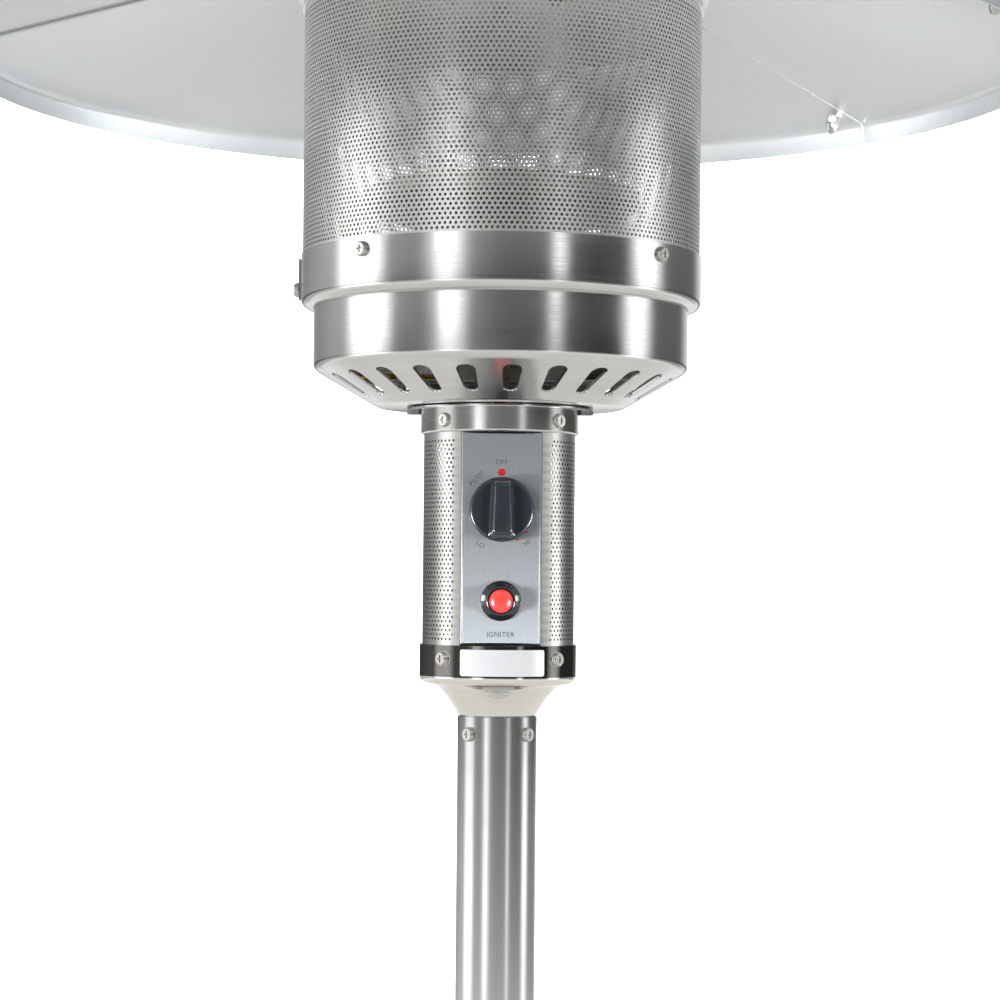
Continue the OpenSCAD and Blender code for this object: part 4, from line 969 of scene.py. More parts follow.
@dataclass
class BurnerHousing:
    """Slotted burner housing with the trim band round the foot of the screen."""

    plate_z: float = 230.5
    plate_r: float = 93.0
    plate_bend: float = 1.2
    wall_r: float = 141.0
    wall_bend: float = 4.0
    cone_top: float = 258.7
    top: float = 339.6
    sheet: float = 1.0
    jet_hole: float = 14.0
    slots: int = 24
    slot_turn: float = -88.125
    slot_l: float = 33.0
    slot_outer: float = 15.0
    slot_inner: float = 10.0
    slot_round: float = 0.92
    plain_low: float = 3.0
    plain_high: float = 4.5
    lip: float = 2.6
    band_z: float = 304.0
    band_top: float = 343.6
    band_r: float = 150.6
    band_edge: float = 7.0
    band_gap: float = 0.2
    clip_w: float = 16.0
    clip_wall: float = 1.5
    clip_low: float = 6.0
    clip_high: float = 3.0
    clip_screw: float = 14.0

    def build(self) -> None:
        """Makes the housing, the band and the clip over the band's joint."""
        self.bowl()
        band = lathed([(self.wall_r + self.band_gap, self.band_z), (self.band_r, self.band_z, self.band_edge),
                       (self.band_r, self.band_top, 0.4)], self.sheet)
        band.move(AT_HEAD).piece("trim_band_sheet", POLISHED, nodes=["trim_band"])
        self.clip()

    def bowl(self) -> None:
        """Makes the bowl: a bottom plate, a cone with formed slots and an upright wall."""
        run, rise = self.wall_r - self.plate_r, self.cone_top - self.plate_z
        slant = math.hypot(run, rise)
        lean = Vector((run, rise)) / slant
        half = math.pi / self.slots
        low, high = self.plain_low, slant - self.plain_high
        middle, reach = slant / 2, self.slot_l / 2
        inner, outer = self.slot_inner / 2, self.slot_outer / 2
        outline = trapezium((inner, middle - reach, inner * self.slot_round),
                            (outer, middle + reach, outer * self.slot_round))

        def radius(s: float) -> float:
            """Gives the cone's radius at a distance up its slant."""
            return self.plate_r + s * lean.x

        def coned(flat: Vector) -> Vector:
            """Lays a point of the flat field on the cone.

            Args:
                flat: The point of the field.
            Returns:
                Where it comes to lie.
            """
            angle = flat.x / radius(flat.z) + math.radians(self.slot_turn)
            r = radius(flat.z) - flat.y * lean.y
            return Vector((r * math.cos(angle), r * math.sin(angle),
                           self.plate_z + flat.z * lean.y + flat.y * lean.x))

        shell = slotted(outline, 6, low, high, lambda s: radius(s) * half, FULL_TURN // self.slots, self.lip)
        shell.bend(coned).array(self.slots, angle=360 / self.slots)
        floor = Shell().draw([(self.jet_hole, self.plate_z), (self.plate_r, self.plate_z, self.plate_bend),
                              (radius(low), self.plate_z + low * lean.y)], arc=3)
        wall = Shell().draw([(radius(high), self.plate_z + high * lean.y),
                             (self.wall_r, self.cone_top, self.wall_bend), (self.wall_r, self.top)])
        for part in (floor, wall):
            part.turn()
            shell.stamp(part)
        shell.seal(self.sheet).move(AT_HEAD)
        shell.piece("burner_bowl", POLISHED, nodes=["burner_housing"])

    def clip(self) -> None:
        """Makes the strip over the band's joint, on the left side."""
        inner = self.band_r + self.band_gap
        outer = inner + self.clip_wall
        half = math.degrees(self.clip_w / 2 / inner)
        shell = Shell().draw([(outer, self.band_z + self.clip_low), (outer, self.band_top - self.clip_high)])
        shell.turn(2 * half, 6)
        shell.seal(self.clip_wall).move(AT_HEAD @ spun(180 - half))
        shell.piece("band_clip_strip", POLISHED, nodes=["band_clip"])


@dataclass
class ControlColumn:
    """Collars, perforated shell, flat panel and screws of the control column."""

    collar_r: float = 59.1
    collar_top: float = 52.9
    collar_turn: float = 5.6
    collar_wall: float = 1.2
    flare_h: float = 23.4
    flare_r: float = 52.9
    flare_foot: float = 30.2
    flare_power: float = 1.9
    flare_steps: int = 16
    upper_r: float = 58.6
    upper_z: float = 211.4
    upper_wall: float = 1.0
    upper_flange: float = 12.0
    plate_z: float = BurnerHousing.plate_z
    shell_r: float = 57.2
    shell_foot: float = 34.9
    shell_top: float = 227.5
    shell_wall: float = 0.8
    shell_gap: float = 0.3
    shell_shift: float = 1.1
    hole: float = 1.9
    hole_pitch: float = 3.92
    hole_row: float = 3.25
    first_row: float = 57.6
    columns: int = 72
    pairs: int = 23
    panel_w: float = 59.0
    panel_y: float = 50.0
    panel_z: float = 53.9
    panel_top: float = 210.4
    panel_lip: float = 8.0
    panel_bend: float = 1.6
    panel_margin: float = 0.3
    panel_wall: float = 1.2
    valve_hole: float = 9.2
    igniter_hole: float = 10.7
    label_w: float = 65.2
    label_shift: float = 1.8
    label_low: float = 30.8
    label_high: float = 50.2
    label_corner: float = 1.8
    label_gap: float = 0.25
    label_wall: float = 0.2
    collar_screw: float = 9.9
    upper_screw: float = 7.6
    band_screw: float = 8.5
    band_screw_l: float = 15.0
    band_angles: tuple[float, ...] = (47.3, 137.3, 227.3, 317.3)

    def build(self) -> None:
        """Makes every piece of the column."""
        self.collars()
        self.shell()
        self.panel()
        self.label()
        self.screws()

    def collars(self) -> None:
        """Makes the lower collar with its flare and the upper collar with its flange.

        The lower collar's wall has a corner just past each bend, which keeps the shading of the wall even.
        """
        shares = [k / self.flare_steps for k in range(self.flare_steps + 1)]
        flare = [(self.flare_foot + (self.flare_r - self.flare_foot) * s,
                  self.flare_h * (1 - (1 - s) ** self.flare_power)) for s in shares]
        wall_foot, wall_top = self.flare_h + 6.2, self.collar_top - 1.1
        lower = lathed([*flare, (self.collar_r, self.flare_h, self.collar_turn), (self.collar_r, wall_foot),
                        (self.collar_r, wall_top), (self.collar_r, self.collar_top, 0.5)], self.collar_wall)
        lower.move(AT_HEAD).piece("lower_collar_sheet", MIRROR, nodes=["lower_collar"], sharp=40)
        flange = self.plate_z - self.upper_wall
        upper = lathed([(self.upper_r - 1.0, self.upper_z), (self.upper_r, self.upper_z, 0.7),
                        (self.upper_r, flange, 0.8), (self.upper_r + self.upper_flange, flange)],
                       self.upper_wall)
        upper.move(AT_HEAD).piece("upper_collar_sheet", POLISHED, nodes=["upper_collar"], sharp=40)

    def shell(self) -> None:
        """Makes the perforated shell with its plain borders beside the panel."""
        opening = math.asin((self.panel_w / 2 + self.shell_gap) / self.shell_r)
        span = (2 * math.pi - 2 * opening) * self.shell_r
        shell = Perforation(self.hole_pitch, self.hole_row, self.hole).strip(self.columns, self.pairs)
        start = (span - self.columns * self.hole_pitch) / 2 + self.hole_pitch / 4 + self.shell_shift
        shell.move(Matrix.Translation((start, 0, self.first_row)))
        for border, value in ((Border.START, 0.0), (Border.END, span), (Border.FOOT, self.shell_foot),
                              (Border.TOP, self.shell_top)):
            stretch(shell, border, value)
        shell.bend(rolled(self.shell_r, opening)).seal(self.shell_wall).move(AT_HEAD)
        shell.piece("perforated_shell", PUNCHED, nodes=["control_shell"])

    def panel(self) -> None:
        """Makes the flat panel with its edges bent back, and the holes of the valve and the igniter."""
        bend, flat = self.panel_bend, self.panel_bend + self.panel_margin
        right, low, high = self.panel_w / 2 - flat, self.panel_z + flat, self.panel_top - flat
        middle = (low + high) / 2
        shell = Shell().draw(trapezium((right, low), (right, high)), True)
        rim = shell.bm.edges[:]
        for radius, z in ((self.valve_hole, Controls.knob_z), (self.igniter_hole, Controls.igniter_z)):
            bmesh.ops.create_circle(shell.bm, cap_ends=False, segments=SMALL_TURN, radius=radius,
                                    matrix=Matrix.Translation((0, 0, z)) @ OUTWARDS)
        bmesh.ops.triangle_fill(shell.bm, use_beauty=True, use_dissolve=False, edges=shell.bm.edges[:],
                                normal=(0, -1, 0))
        turns = [math.radians(a) for a in range(0, 91, 15)]
        steps = [(self.panel_margin, 0.0)]
        steps += [(bend * (math.sin(b) - math.sin(a)), bend * (math.cos(a) - math.cos(b)))
                  for a, b in zip(turns, turns[1:])]
        for out, back in steps + [(0.0, self.panel_lip - bend)]:
            rim, points = shell.grow(rim)
            for place in (point.co for point in points):
                place += Vector((math.copysign(out, place.x), back, math.copysign(out, place.z - middle)))
        shell.seal(self.panel_wall).move(Matrix.Translation((0, -self.panel_y, HEAD)))
        shell.piece("control_face", BRUSHED, nodes=["control_panel"])

    def label(self) -> None:
        """Makes the blank label round the front of the lower collar."""
        shell = Shell()
        bmesh.ops.create_grid(shell.bm, x_segments=26, y_segments=4, size=0.5)
        middle, height = (self.label_low + self.label_high) / 2, self.label_high - self.label_low
        shell.bend(lambda p: Vector((p.x * self.label_w + self.label_shift, 0, middle + p.y * height)))
        shell.bevel([v for v in shell.bm.verts if len(v.link_edges) == 2], self.label_corner, 4)
        shell.bend(rolled(self.collar_r + self.label_gap)).seal(self.label_wall)
        shell.move(AT_HEAD).piece("blank_label", VINYL)

    def screws(self) -> None:
        """Makes the pan-head screws of the two collars, the trim band and the band's clip."""
        made = Shell()
        short, deep = PanScrew().shell(), PanScrew(length=self.band_screw_l).shell()
        for angle in DIAGONALS:
            made.stamp(short, [AT_HEAD @ radial(angle, self.collar_r, self.collar_top - self.collar_screw),
                               AT_HEAD @ radial(angle, self.upper_r, self.upper_z + self.upper_screw)])
        housing = BurnerHousing()
        clip_r = housing.band_r + housing.band_gap + housing.clip_wall
        made.stamp(deep, [AT_HEAD @ radial(a, housing.band_r, housing.band_top - self.band_screw)
                          for a in self.band_angles])
        made.stamp(deep, [AT_HEAD @ radial(180, clip_r, housing.band_z + housing.clip_screw)])
        made.piece("column_screws", SCREW, nodes=["collar_screws"])


@dataclass(frozen=True)
class Legend:
    """Word printed on the panel.

    Attributes:
        text: The word.
        x: Its place beside the knob's axis.
        z: Its height over the knob's axis.
        lean: Its turn, anticlockwise.
        size: Size of its letters.
    """

    text: str
    x: float
    z: float
    lean: float = 0.0
    size: float = 5.0


@dataclass(frozen=True)
class Dot:
    """Dot of the knob's scale.

    Attributes:
        angle: Its direction from the knob's axis, from +X towards +Z.
        ring: Its distance from the axis.
        size: Its radius.
    """

    angle: float
    ring: float
    size: float


@dataclass
class Controls:
    """Knob, igniter and printed legends of the control panel."""

    panel_y: float = ControlColumn.panel_y
    knob_z: float = 153.0
    knob_r: float = 23.7
    knob_gap: float = 4.6
    skirt: float = 7.0
    grip: float = 14.0
    bar_end: float = 22.2
    bar_low: float = 10.3
    bar_middle: float = 9.6
    bar_high: float = 8.4
    bar_edge: float = 1.2
    bar_levels: tuple[Corner, ...] = ((0.0, 1.0, 1.0), (0.3, 0.83, 0.94), (0.65, 0.75, 0.88),
                                      (1.0, 0.7, 0.81))
    igniter_z: float = 86.0
    bezel_r: float = 14.8
    bezel_wall: float = 1.7
    bezel_back: float = -22.0
    bezel_rim: float = 1.5
    bezel_front: float = 6.0
    button_r: float = 8.5
    button_gap: float = 0.3
    button_back: float = -1.6
    button_front: float = 10.4
    button_rise: float = 2.2
    plunger_r: float = 3.0
    plunger_back: float = -24.0
    ink: float = 0.06
    word_gap: float = 0.04
    dot_gap: float = 0.02
    words: tuple[Legend, ...] = (
        Legend("OFF", 0, 34.8), Legend("PILOT", -18.3, 22.8, 47, 4.8), Legend("LO", -15.4, -25.6, -36),
        Legend("HI", 19.3, -24.2, 36), Legend("IGNITER", 0, -91.8, size=5.2))
    dots: tuple[Dot, ...] = (Dot(90, 27.5, 2.8), Dot(-41, 24.6, 1.2), Dot(-61.5, 24.5, 0.9))

    def on_panel(self, z: float, out: float = 0.0) -> Matrix:
        """Moves a thing on the XZ plane to a height on the panel."""
        return Matrix.Translation((0, -self.panel_y - out, HEAD + z))

    def build(self) -> None:
        """Makes every piece of the controls."""
        self.knob()
        self.igniter()
        self.legends()

    def knob(self) -> None:
        """Makes the knob: a round skirt with a hollow-sided grip bar across it."""
        made = lathed([(0, 0), (self.knob_r - 0.6, 0, 0.3), (self.knob_r, 1.0, 0.4),
                       (self.knob_r, self.skirt - 0.2, 1.3), (self.knob_r - 3, self.skirt + 0.2, 1.0),
                       (0, self.skirt - 0.6)], steps=MIDDLE_TURN).move(OUTWARDS)
        low, middle, high, end = self.bar_low, self.bar_middle, self.bar_high, self.bar_end
        foot, rise = self.skirt - 1, self.grip + 1
        made.stamp(raised([(-low, -end, 3.5), (low, -end, 3.5), (middle, 0, 9), (high, end, 3),
                           (-high, end, 3), (-middle, 0, 9)],
                          [(foot + share * rise, *size) for share, *size in self.bar_levels], self.bar_edge))
        made.move(self.on_panel(self.knob_z, self.knob_gap))
        made.piece("knob_moulding", KNOB, "knob", ["control_knob"])

    def igniter(self) -> None:
        """Makes the igniter's bezel and its domed button."""
        bore = self.button_r + self.button_gap
        tube = bore + self.bezel_wall
        bezel = lathed([(bore, self.bezel_back), (tube, self.bezel_back), (tube, 0), (self.bezel_r, 0),
                        (self.bezel_r, self.bezel_rim, 0.7), (tube - 0.1, self.bezel_front, 0.7),
                        (bore, self.bezel_front, 0.4)], closed=True, steps=MIDDLE_TURN)
        bezel.move(self.on_panel(self.igniter_z) @ OUTWARDS)
        bezel.piece("igniter_ring", BEZEL, nodes=["igniter_bezel"])
        button = lathed([(0, self.plunger_back), (self.plunger_r, self.plunger_back),
                         (self.plunger_r, self.button_back), (self.button_r, self.button_back),
                         *dome(self.button_r, self.button_front, self.button_rise, 10)], steps=MIDDLE_TURN)
        button.move(self.on_panel(self.igniter_z) @ OUTWARDS)
        button.piece("igniter_cap", BUTTON, "igniter_button", ["igniter_button"], sharp=40)

    def legends(self) -> None:
        """Prints the legends and the dots of the knob's scale on the panel."""
        words = Shell()
        for word in self.words:
            words.stamp(lettering(word.text, word.size, self.ink), [
                self.on_panel(self.knob_z + word.z, self.word_gap) @ Matrix.Translation((word.x, 0, 0))
                @ spun(-word.lean, "Y")])
        words.piece("panel_legends", GREY_INK)
        dots = Shell()
        for dot in self.dots:
            disc = lathed([(0, 0), (dot.size, 0), (dot.size, self.ink), (0, self.ink)], steps=32)
            turn = math.radians(dot.angle)
            centre = Vector((dot.ring * math.cos(turn), 0, dot.ring * math.sin(turn)))
            dots.stamp(disc.move(OUTWARDS),
                       [self.on_panel(self.knob_z, self.dot_gap) @ Matrix.Translation(centre)])
        dots.piece("scale_dots", RED_INK)


def lettering(text: str, size: float, ink: float) -> Shell:
    """Makes a word of flat printed letters in the XZ plane, centred on the origin.

    Args:
        text: The word.
        size: Size of the letters.
        ink: Thickness of the print.
    Returns:
        The shell, facing -Y.
    """
    curve = bpy.data.curves.new("lettering", "FONT")
    curve.body, curve.size = text, size
    curve.align_x, curve.align_y = "CENTER", "CENTER"
    curve.extrude, curve.resolution_u, curve.space_character = ink / 2, 3, 1.08
    word = add_object("lettering", curve)
    bpy.context.view_layer.update()
    mesh = bpy.data.meshes.new_from_object(word.evaluated_get(bpy.context.evaluated_depsgraph_get()))
    shell = Shell()
    shell.bm.from_mesh(mesh)
    bpy.data.objects.remove(word)
    bpy.data.curves.remove(curve)
    bpy.data.meshes.remove(mesh)
    return shell.move(OUTWARDS)


@dataclass
class Post:
    """Post tube and its screws."""

    radius: float = 30.0
    wall: float = 1.5
    foot: float = 741.0
    top: float = 1588.8
    screw_z: float = 1576.0
    screw_l: float = 6.0
    sleeve_r: float = 34.0
    sleeve_screw_z: float = 784.0
    sleeve_screw_l: float = 8.0
    sleeve_angles: tuple[float, ...] = (150.0, 270.0, 30.0)

    def build(self) -> None:
        """Makes the tube and the screws at its two ends."""
        tube = lathed([(self.radius, self.foot), (self.radius, self.top, 0.3)], self.wall)
        tube.piece("post_tube", TUBE, nodes=["post"])
        made = Shell()
        made.stamp(PanScrew(length=self.screw_l).shell(),
                   [radial(a, self.radius, self.screw_z) for a in DIAGONALS])
        made.stamp(PanScrew(length=self.sleeve_screw_l).shell(),
                   [radial(a, self.sleeve_r, self.sleeve_screw_z) for a in self.sleeve_angles])
        made.piece("post_fixings", SCREW, nodes=["post_screws"])


@dataclass
class TankHousing:
    """Lifting housing round the gas bottle, with its lid."""

    radius: float = 203.0
    wall: float = 0.9
    foot: float = 42.3
    top: float = 770.0
    hem_w: float = 2.2
    hem_h: float = 3.6
    hem_bend: float = 0.9
    vents: int = 12
    vent_z: float = 102.0
    vent_l: float = 60.0
    vent_w: float = 12.0
    vent_round: float = 0.98
    vent_lip: float = 2.2
    vent_field: float = 22.0
    lid_r: float = 204.4
    lid_wall: float = 1.2
    lid_gap: float = 4.0
    lid_bend: float = 4.0
    lid_rise: float = 84.0
    lid_screw_l: float = 6.0
    skirt: float = 22.0
    neck_r: float = 31.5
    neck_h: float = 26.0
    neck_bend: float = 5.0

    def build(self) -> None:
        """Makes the housing, its lid and the lid's screws."""
        self.drum()
        cone = self.top + self.lid_gap
        neck = cone + self.lid_rise
        lid = lathed([(self.lid_r, self.top - self.skirt), (self.lid_r, cone, self.lid_bend),
                      (self.neck_r, neck, self.neck_bend), (self.neck_r, neck + self.neck_h)], self.lid_wall)
        lid.piece("lid_sheet", ROLLED, "housing", ["housing_lid"])
        made = Shell().stamp(PanScrew(length=self.lid_screw_l).shell(),
                             [radial(a, self.lid_r, self.top - self.skirt / 2) for a in DIAGONALS])
        made.piece("lid_fixings", SCREW, "housing", ["lid_screws"])

    def drum(self) -> None:
        """Makes the drum with its ring of vent slots and a hemmed foot."""
        low, high = self.vent_z - self.vent_field, self.vent_z + self.vent_field
        half = math.pi / self.vents * self.radius
        x, z = self.vent_l / 2, self.vent_w / 2
        bend = z * self.vent_round
        outline = trapezium((x, self.vent_z - z, bend), (x, self.vent_z + z, bend))
        shell = slotted(outline, 9, low, high, lambda z: half, FULL_TURN // self.vents, self.vent_lip)
        shell.bend(rolled(self.radius, math.pi / 2)).array(self.vents, angle=360 / self.vents)
        inner = self.radius - self.hem_w
        hem = Shell().draw([(inner, self.foot + self.hem_h), (inner, self.foot, self.hem_bend),
                            (self.radius, self.foot, self.hem_bend), (self.radius, low)], arc=4)
        drum = Shell().draw([(self.radius, high), (self.radius, self.top)])
        for part in (hem, drum):
            part.turn()
            shell.stamp(part)
        shell.seal(self.wall).piece("housing_drum", ROLLED, "housing", ["tank_housing"])


class Side(Enum):
    """Side of the heater that a wheel is on, with the sign of its x."""

    LEFT = -1
    RIGHT = 1


@dataclass
class Base:
    """Base pan and transport wheels."""

    radius: float = 230.0
    height: float = 42.0
    sheet: float = 2.0
    raise_r: float = 198.8
    raise_h: float = 6.0
    shoulder: float = 12.0
    foot_ring: float = 24.0
    wheel_y: float = 285.09
    wheel_z: float = 62.0
    track: float = 170.0
    wheel_r: float = 60.0
    wheel_w: float = 30.0
    rim_r: float = 49.0
    rim_wall: float = 4.0
    hub_r: float = 14.0
    hub_sink: float = 1.5
    axle_r: float = 5.06
    spokes: int = 6
    spoke_w: float = 8.0
    cap_r: float = 10.0
    cap_h: float = 8.0
    cap_bore: float = 6.0
    cap_gap: float = 0.3
    bead_gap: float = 0.05
    grooves: tuple[float, ...] = (-7.0, 0.0, 7.0)
    groove_mouth: float = 1.3
    groove_floor: float = 0.7
    groove_h: float = 1.8

    def build(self) -> None:
        """Makes the pan, the two wheels with their tyres and the caps of the axle."""
        raised_z = self.height + self.raise_h
        pan = lathed([(self.radius - self.foot_ring, 0), (self.radius, 0, 1.5),
                      (self.radius, self.height, self.shoulder), (self.raise_r, self.height, 1.2),
                      (self.raise_r, raised_z, 2.0), (0, raised_z)], self.sheet)
        pan.piece("base_pan_sheet", ROLLED, nodes=["base_pan"])
        cap = lathed([(self.axle_r, 0), (self.cap_r, 0, 0.5), (self.cap_r, self.cap_h / 2, 2.5),
                      (4.0, self.cap_h, 2.5), (0, self.cap_h), (0, self.cap_bore),
                      (self.axle_r, self.cap_bore)], closed=True, steps=SMALL_TURN)
        caps = Shell()
        for side in Side:
            self.wheel(side)
            caps.stamp(cap, [self.axle(side, (self.track + self.wheel_w) / 2 + self.cap_gap)])
        caps.piece("axle_end_caps", WHEEL_PP, nodes=["axle_caps"])

    def axle(self, side: Side, reach: float) -> Matrix:
        """Moves a thing out along the axle to one side and points its +Z outwards."""
        place = (side.value * reach, self.wheel_y, self.wheel_z)
        return Matrix.Translation(place) @ spun(90 * side.value, "Y")

    def wheel(self, side: Side) -> None:
        """Makes one moulded wheel and its tyre.

        Args:
            side: The side that it is on.
        """
        half, name = self.wheel_w / 2, side.name.lower()
        place = self.axle(side, self.track / 2)
        bed, floor = self.rim_r - self.rim_wall, half - self.hub_sink
        made = lathed([(bed, -half), (self.rim_r, -half, 0.6), (self.rim_r, half, 0.6), (bed, half, 1.0),
                       (bed - 1, 0, 3)], closed=True, steps=MIDDLE_TURN)
        made.stamp(lathed([(self.axle_r, -half), (self.hub_r, -half, 1.2), (self.hub_r, half, 1.2),
                           (self.hub_r - 4, half, 0.8), (self.hub_r - 5, floor, 0.6), (self.axle_r, floor)],
                          closed=True, steps=SMALL_TURN))
        spoke = block((self.rim_r - self.hub_r - 2, self.spoke_w, self.wheel_w / 3), 1.6)
        made.stamp(spoke, [upright(k * 360 / self.spokes, (bed + self.hub_r) / 2, 0)
                           for k in range(self.spokes)])
        made.move(place)
        made.piece(f"wheel_{name}_moulding", WHEEL_PP, f"wheel_{name}", [f"wheel_{name}"])
        self.tyre(place).piece(f"tyre_{name}_rubber", RUBBER, f"wheel_{name}", [f"tyre_{name}"])

    def tyre(self, place: Matrix) -> Shell:
        """Makes a rubber tyre with grooves round its tread.

        Args:
            place: Where the wheel is.
        Returns:
            The shell in place.
        """
        half, bead, floor = self.wheel_w / 2, self.rim_r + self.bead_gap, self.wheel_r - self.groove_h
        mouth = ((self.wheel_r, -self.groove_mouth), (floor, -self.groove_floor), (floor, self.groove_floor),
                 (self.wheel_r, self.groove_mouth))
        tread = [(r, x + side, 0.3) for x in self.grooves for r, side in mouth]
        profile = [(bead, -half), (self.wheel_r - 3, -half, 1.5), (self.wheel_r, -half + 6, 3), *tread,
                   (self.wheel_r, half - 6, 3), (self.wheel_r - 3, half, 1.5), (bead, half)]
        return lathed(profile, closed=True, steps=MIDDLE_TURN, arc=3).move(place)


class InnerParts:
    """Parts whose CAD shape is right and only needs its finish."""

    finishes: dict[str, Finish] = {
        "wheel_bracket": POWDER, "wheel_axle": ZINC, "support_leg_1": ZINC, "support_leg_2": ZINC,
        "support_leg_3": ZINC, "base_bolts": ZINC, "post_flange": ZINC, "post_insert": ZINC,
        "burner_bolts": SCREW, "valve_bracket": ZINC, "gas_valve": BRASS, "valve_rotor": BRASS,
        "valve_stem": STEM, "gas_inlet_fitting": BRASS, "igniter_nut": ZINC, "igniter_body": NYLON,
        "tilt_switch": NYLON, "gas_supply_tube": BRASS, "gas_jet": BRASS, "burner_tube": FIRED,
        "burner_head": FIRED, "pilot_bracket": ZINC, "pilot_burner": BRASS, "pilot_tube": BRASS,
        "thermocouple": BRASS, "ignition_electrode": CERAMIC, "reflector_studs": ZINC,
        "reflector_hub": ZINC,
    }

    def build(self) -> None:
        """Gives each part its finish."""
        for name, finish in self.finishes.items():
            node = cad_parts[name]
            for slot in node.material_slots:
                slot.material = finish.material()
            log.info("%s: %s", name, finish.name)


@dataclass(frozen=True)
class Board:
    """Upright board of the studio's surround; the light grades from one board to the next.

    Attributes:
        start: Direction of its first edge, from the camera's side towards +X.
        end: Direction of its other edge.
        level: Its brightness.
    """

    start: float
    end: float
    level: float


def round_post(azimuth: float, distance: float, height: float) -> Vector:
    """Gives a place round the post from its direction, from -Y towards +X, its distance and its height."""
    turn = math.radians(azimuth)
    return Vector((distance * math.sin(turn), -distance * math.cos(turn), height))


@dataclass(frozen=True)
class Lamp:
    """Soft lamp that faces the head and lights some pieces only.

    Attributes:
        name: Its name.
        azimuth: Its direction, from the camera's side towards +X.
        height: Its height, in metres.
        size: Its width and height, in metres.
        power: Its power, in watts.
        pieces: Names of the pieces that it lights.
    """

    name: str
    azimuth: float
    height: float
    size: tuple[float, float]
    power: float
    pieces: tuple[str, ...]


@dataclass
class Studio:
    """Camera, floor and soft light of the picture.

    Attributes:
        lens: Focal length on a 36 mm wide picture.
        distance: From the camera to the post, in metres.
        eye: Height of the camera, in metres.
        azimuth: Turn of the camera round the post.
        roll: Lean of the camera.
        shift: Shift of the lens that frames the head.
        floor_r: Radius of the floor, in metres.
        floor_z: Height of the floor, in metres, just under the heater.
        floor_fade: Where the floor starts and ends to fade into the background, in metres.
        strength: Strength of the surround's light.
        boards: The surround's boards, from the back round by the left.
        gap_light: Share of the boards' light that is left in the dark gap at the horizon.
        gap_top: Where the boards' light comes back over the gap, as the height of a ray of length 1.
        gap_foot: Where it comes back under the gap.
        ceiling: Colour over the boards.
        ceiling_fade: Where the boards start and end to fade into the ceiling.
        ground: Colour that tints the lower boards.
        ground_fade: Where the tint starts and is full.
        ground_share: Share of the tint.
        panel_pieces: Pieces that the panel's lamps light.
        shell_pieces: Pieces that the shell's lamps light.
        bezel_pieces: Pieces that the bezel's lamps light.
        moulded_pieces: Pieces that the knob's lamps light.
        rim_pieces: Pieces that the rim's lamp lights.
        lamps: The lamps.
        lamp_distance: From a lamp to the post, in metres.
        lamp_aim: Height on the post at which the lamps aim, in metres.
    """

    lens: float = 86.76
    distance: float = 1.819
    eye: float = 1.6994
    azimuth: float = -2.0
    roll: float = 0.513
    shift: tuple[float, float] = (0.0015, 0.0691)
    floor_r: float = 7.0
    floor_z: float = -0.0005
    floor_fade: tuple[float, float] = (2.5, 6.5)
    strength: float = 3.0
    boards: tuple[Board, ...] = (
        Board(-180, -170, 0.9), Board(-160, -150, 0.3), Board(-122, -110, 0.5), Board(-101, -79, 2.4),
        Board(-68, -60, 0.34), Board(-54, -48, 0.3), Board(-44, -41, 0.6), Board(-37, -31, 2.7),
        Board(-20, -14, 0.26), Board(0, 25, 0.15), Board(30, 31.5, 1.9), Board(37, 44, 0.1),
        Board(52, 74, 0.06), Board(84.5, 91, 2.5), Board(103, 140, 0.14), Board(158, 180, 0.9))
    gap_light: float = 0.14
    gap_top: tuple[float, float] = (-0.005, 0.025)
    gap_foot: tuple[float, float] = (-0.06, -0.075)
    ceiling: str = "#959798"
    ceiling_fade: tuple[float, float] = (0.16, 0.34)
    ground: str = "#A5A29D"
    ground_fade: tuple[float, float] = (-0.06, -0.1)
    ground_share: float = 0.2
    panel_pieces: tuple[str, ...] = ("control_face", "panel_legends", "scale_dots", "blank_label")
    shell_pieces: tuple[str, ...] = ("perforated_shell",)
    bezel_pieces: tuple[str, ...] = ("igniter_ring",)
    moulded_pieces: tuple[str, ...] = ("knob_moulding", "igniter_ring", "igniter_cap")
    rim_pieces: tuple[str, ...] = ("reflector_sheet_1", "reflector_sheet_2", "reflector_sheet_5")
    lamps: tuple[Lamp, ...] = (
        Lamp("panel_left", -60, 1.335, (0.45, 0.45), 46, panel_pieces),
        Lamp("panel_right", 62, 1.335, (0.45, 0.45), 26, panel_pieces),
        Lamp("shell_left", -84, 1.5, (0.45, 0.45), 3, shell_pieces),
        Lamp("shell_right", 96, 1.5, (0.45, 0.45), 4, shell_pieces),
        Lamp("bezel_left", -92, 2.05, (0.4, 0.8), 18, bezel_pieces),
        Lamp("bezel_right", 88, 2.05, (0.4, 0.8), 13, bezel_pieces),
        Lamp("knob_left", -34, 1.34, (0.45, 0.45), 105, moulded_pieces),
        Lamp("knob_right", 32, 1.34, (0.45, 0.45), 65, moulded_pieces),
        Lamp("rim_front", -2, 1.75, (1.1, 0.5), 850, rim_pieces))
    lamp_distance: float = 2.4
    lamp_aim: float = 1.75

    def build(self) -> None:
        """Sets up the whole studio."""
        bpy.context.scene.view_settings.view_transform = "Standard"
        self.camera()
        self.surround()
        self.floor()
        for lamp in self.lamps:
            self.light(lamp)

    def camera(self) -> None:
        """Puts the camera where the picture was taken from."""
        data = bpy.data.cameras.new("camera")
        data.lens, data.sensor_width, data.sensor_fit = self.lens, 36.0, "HORIZONTAL"
        data.shift_x, data.shift_y = self.shift
        made = add_object("camera", data)
        made.matrix_world = (Matrix.Translation(round_post(self.azimuth, self.distance, self.eye))
                             @ spun(self.azimuth) @ spun(90, "X") @ spun(self.roll))
        bpy.context.scene.camera = made

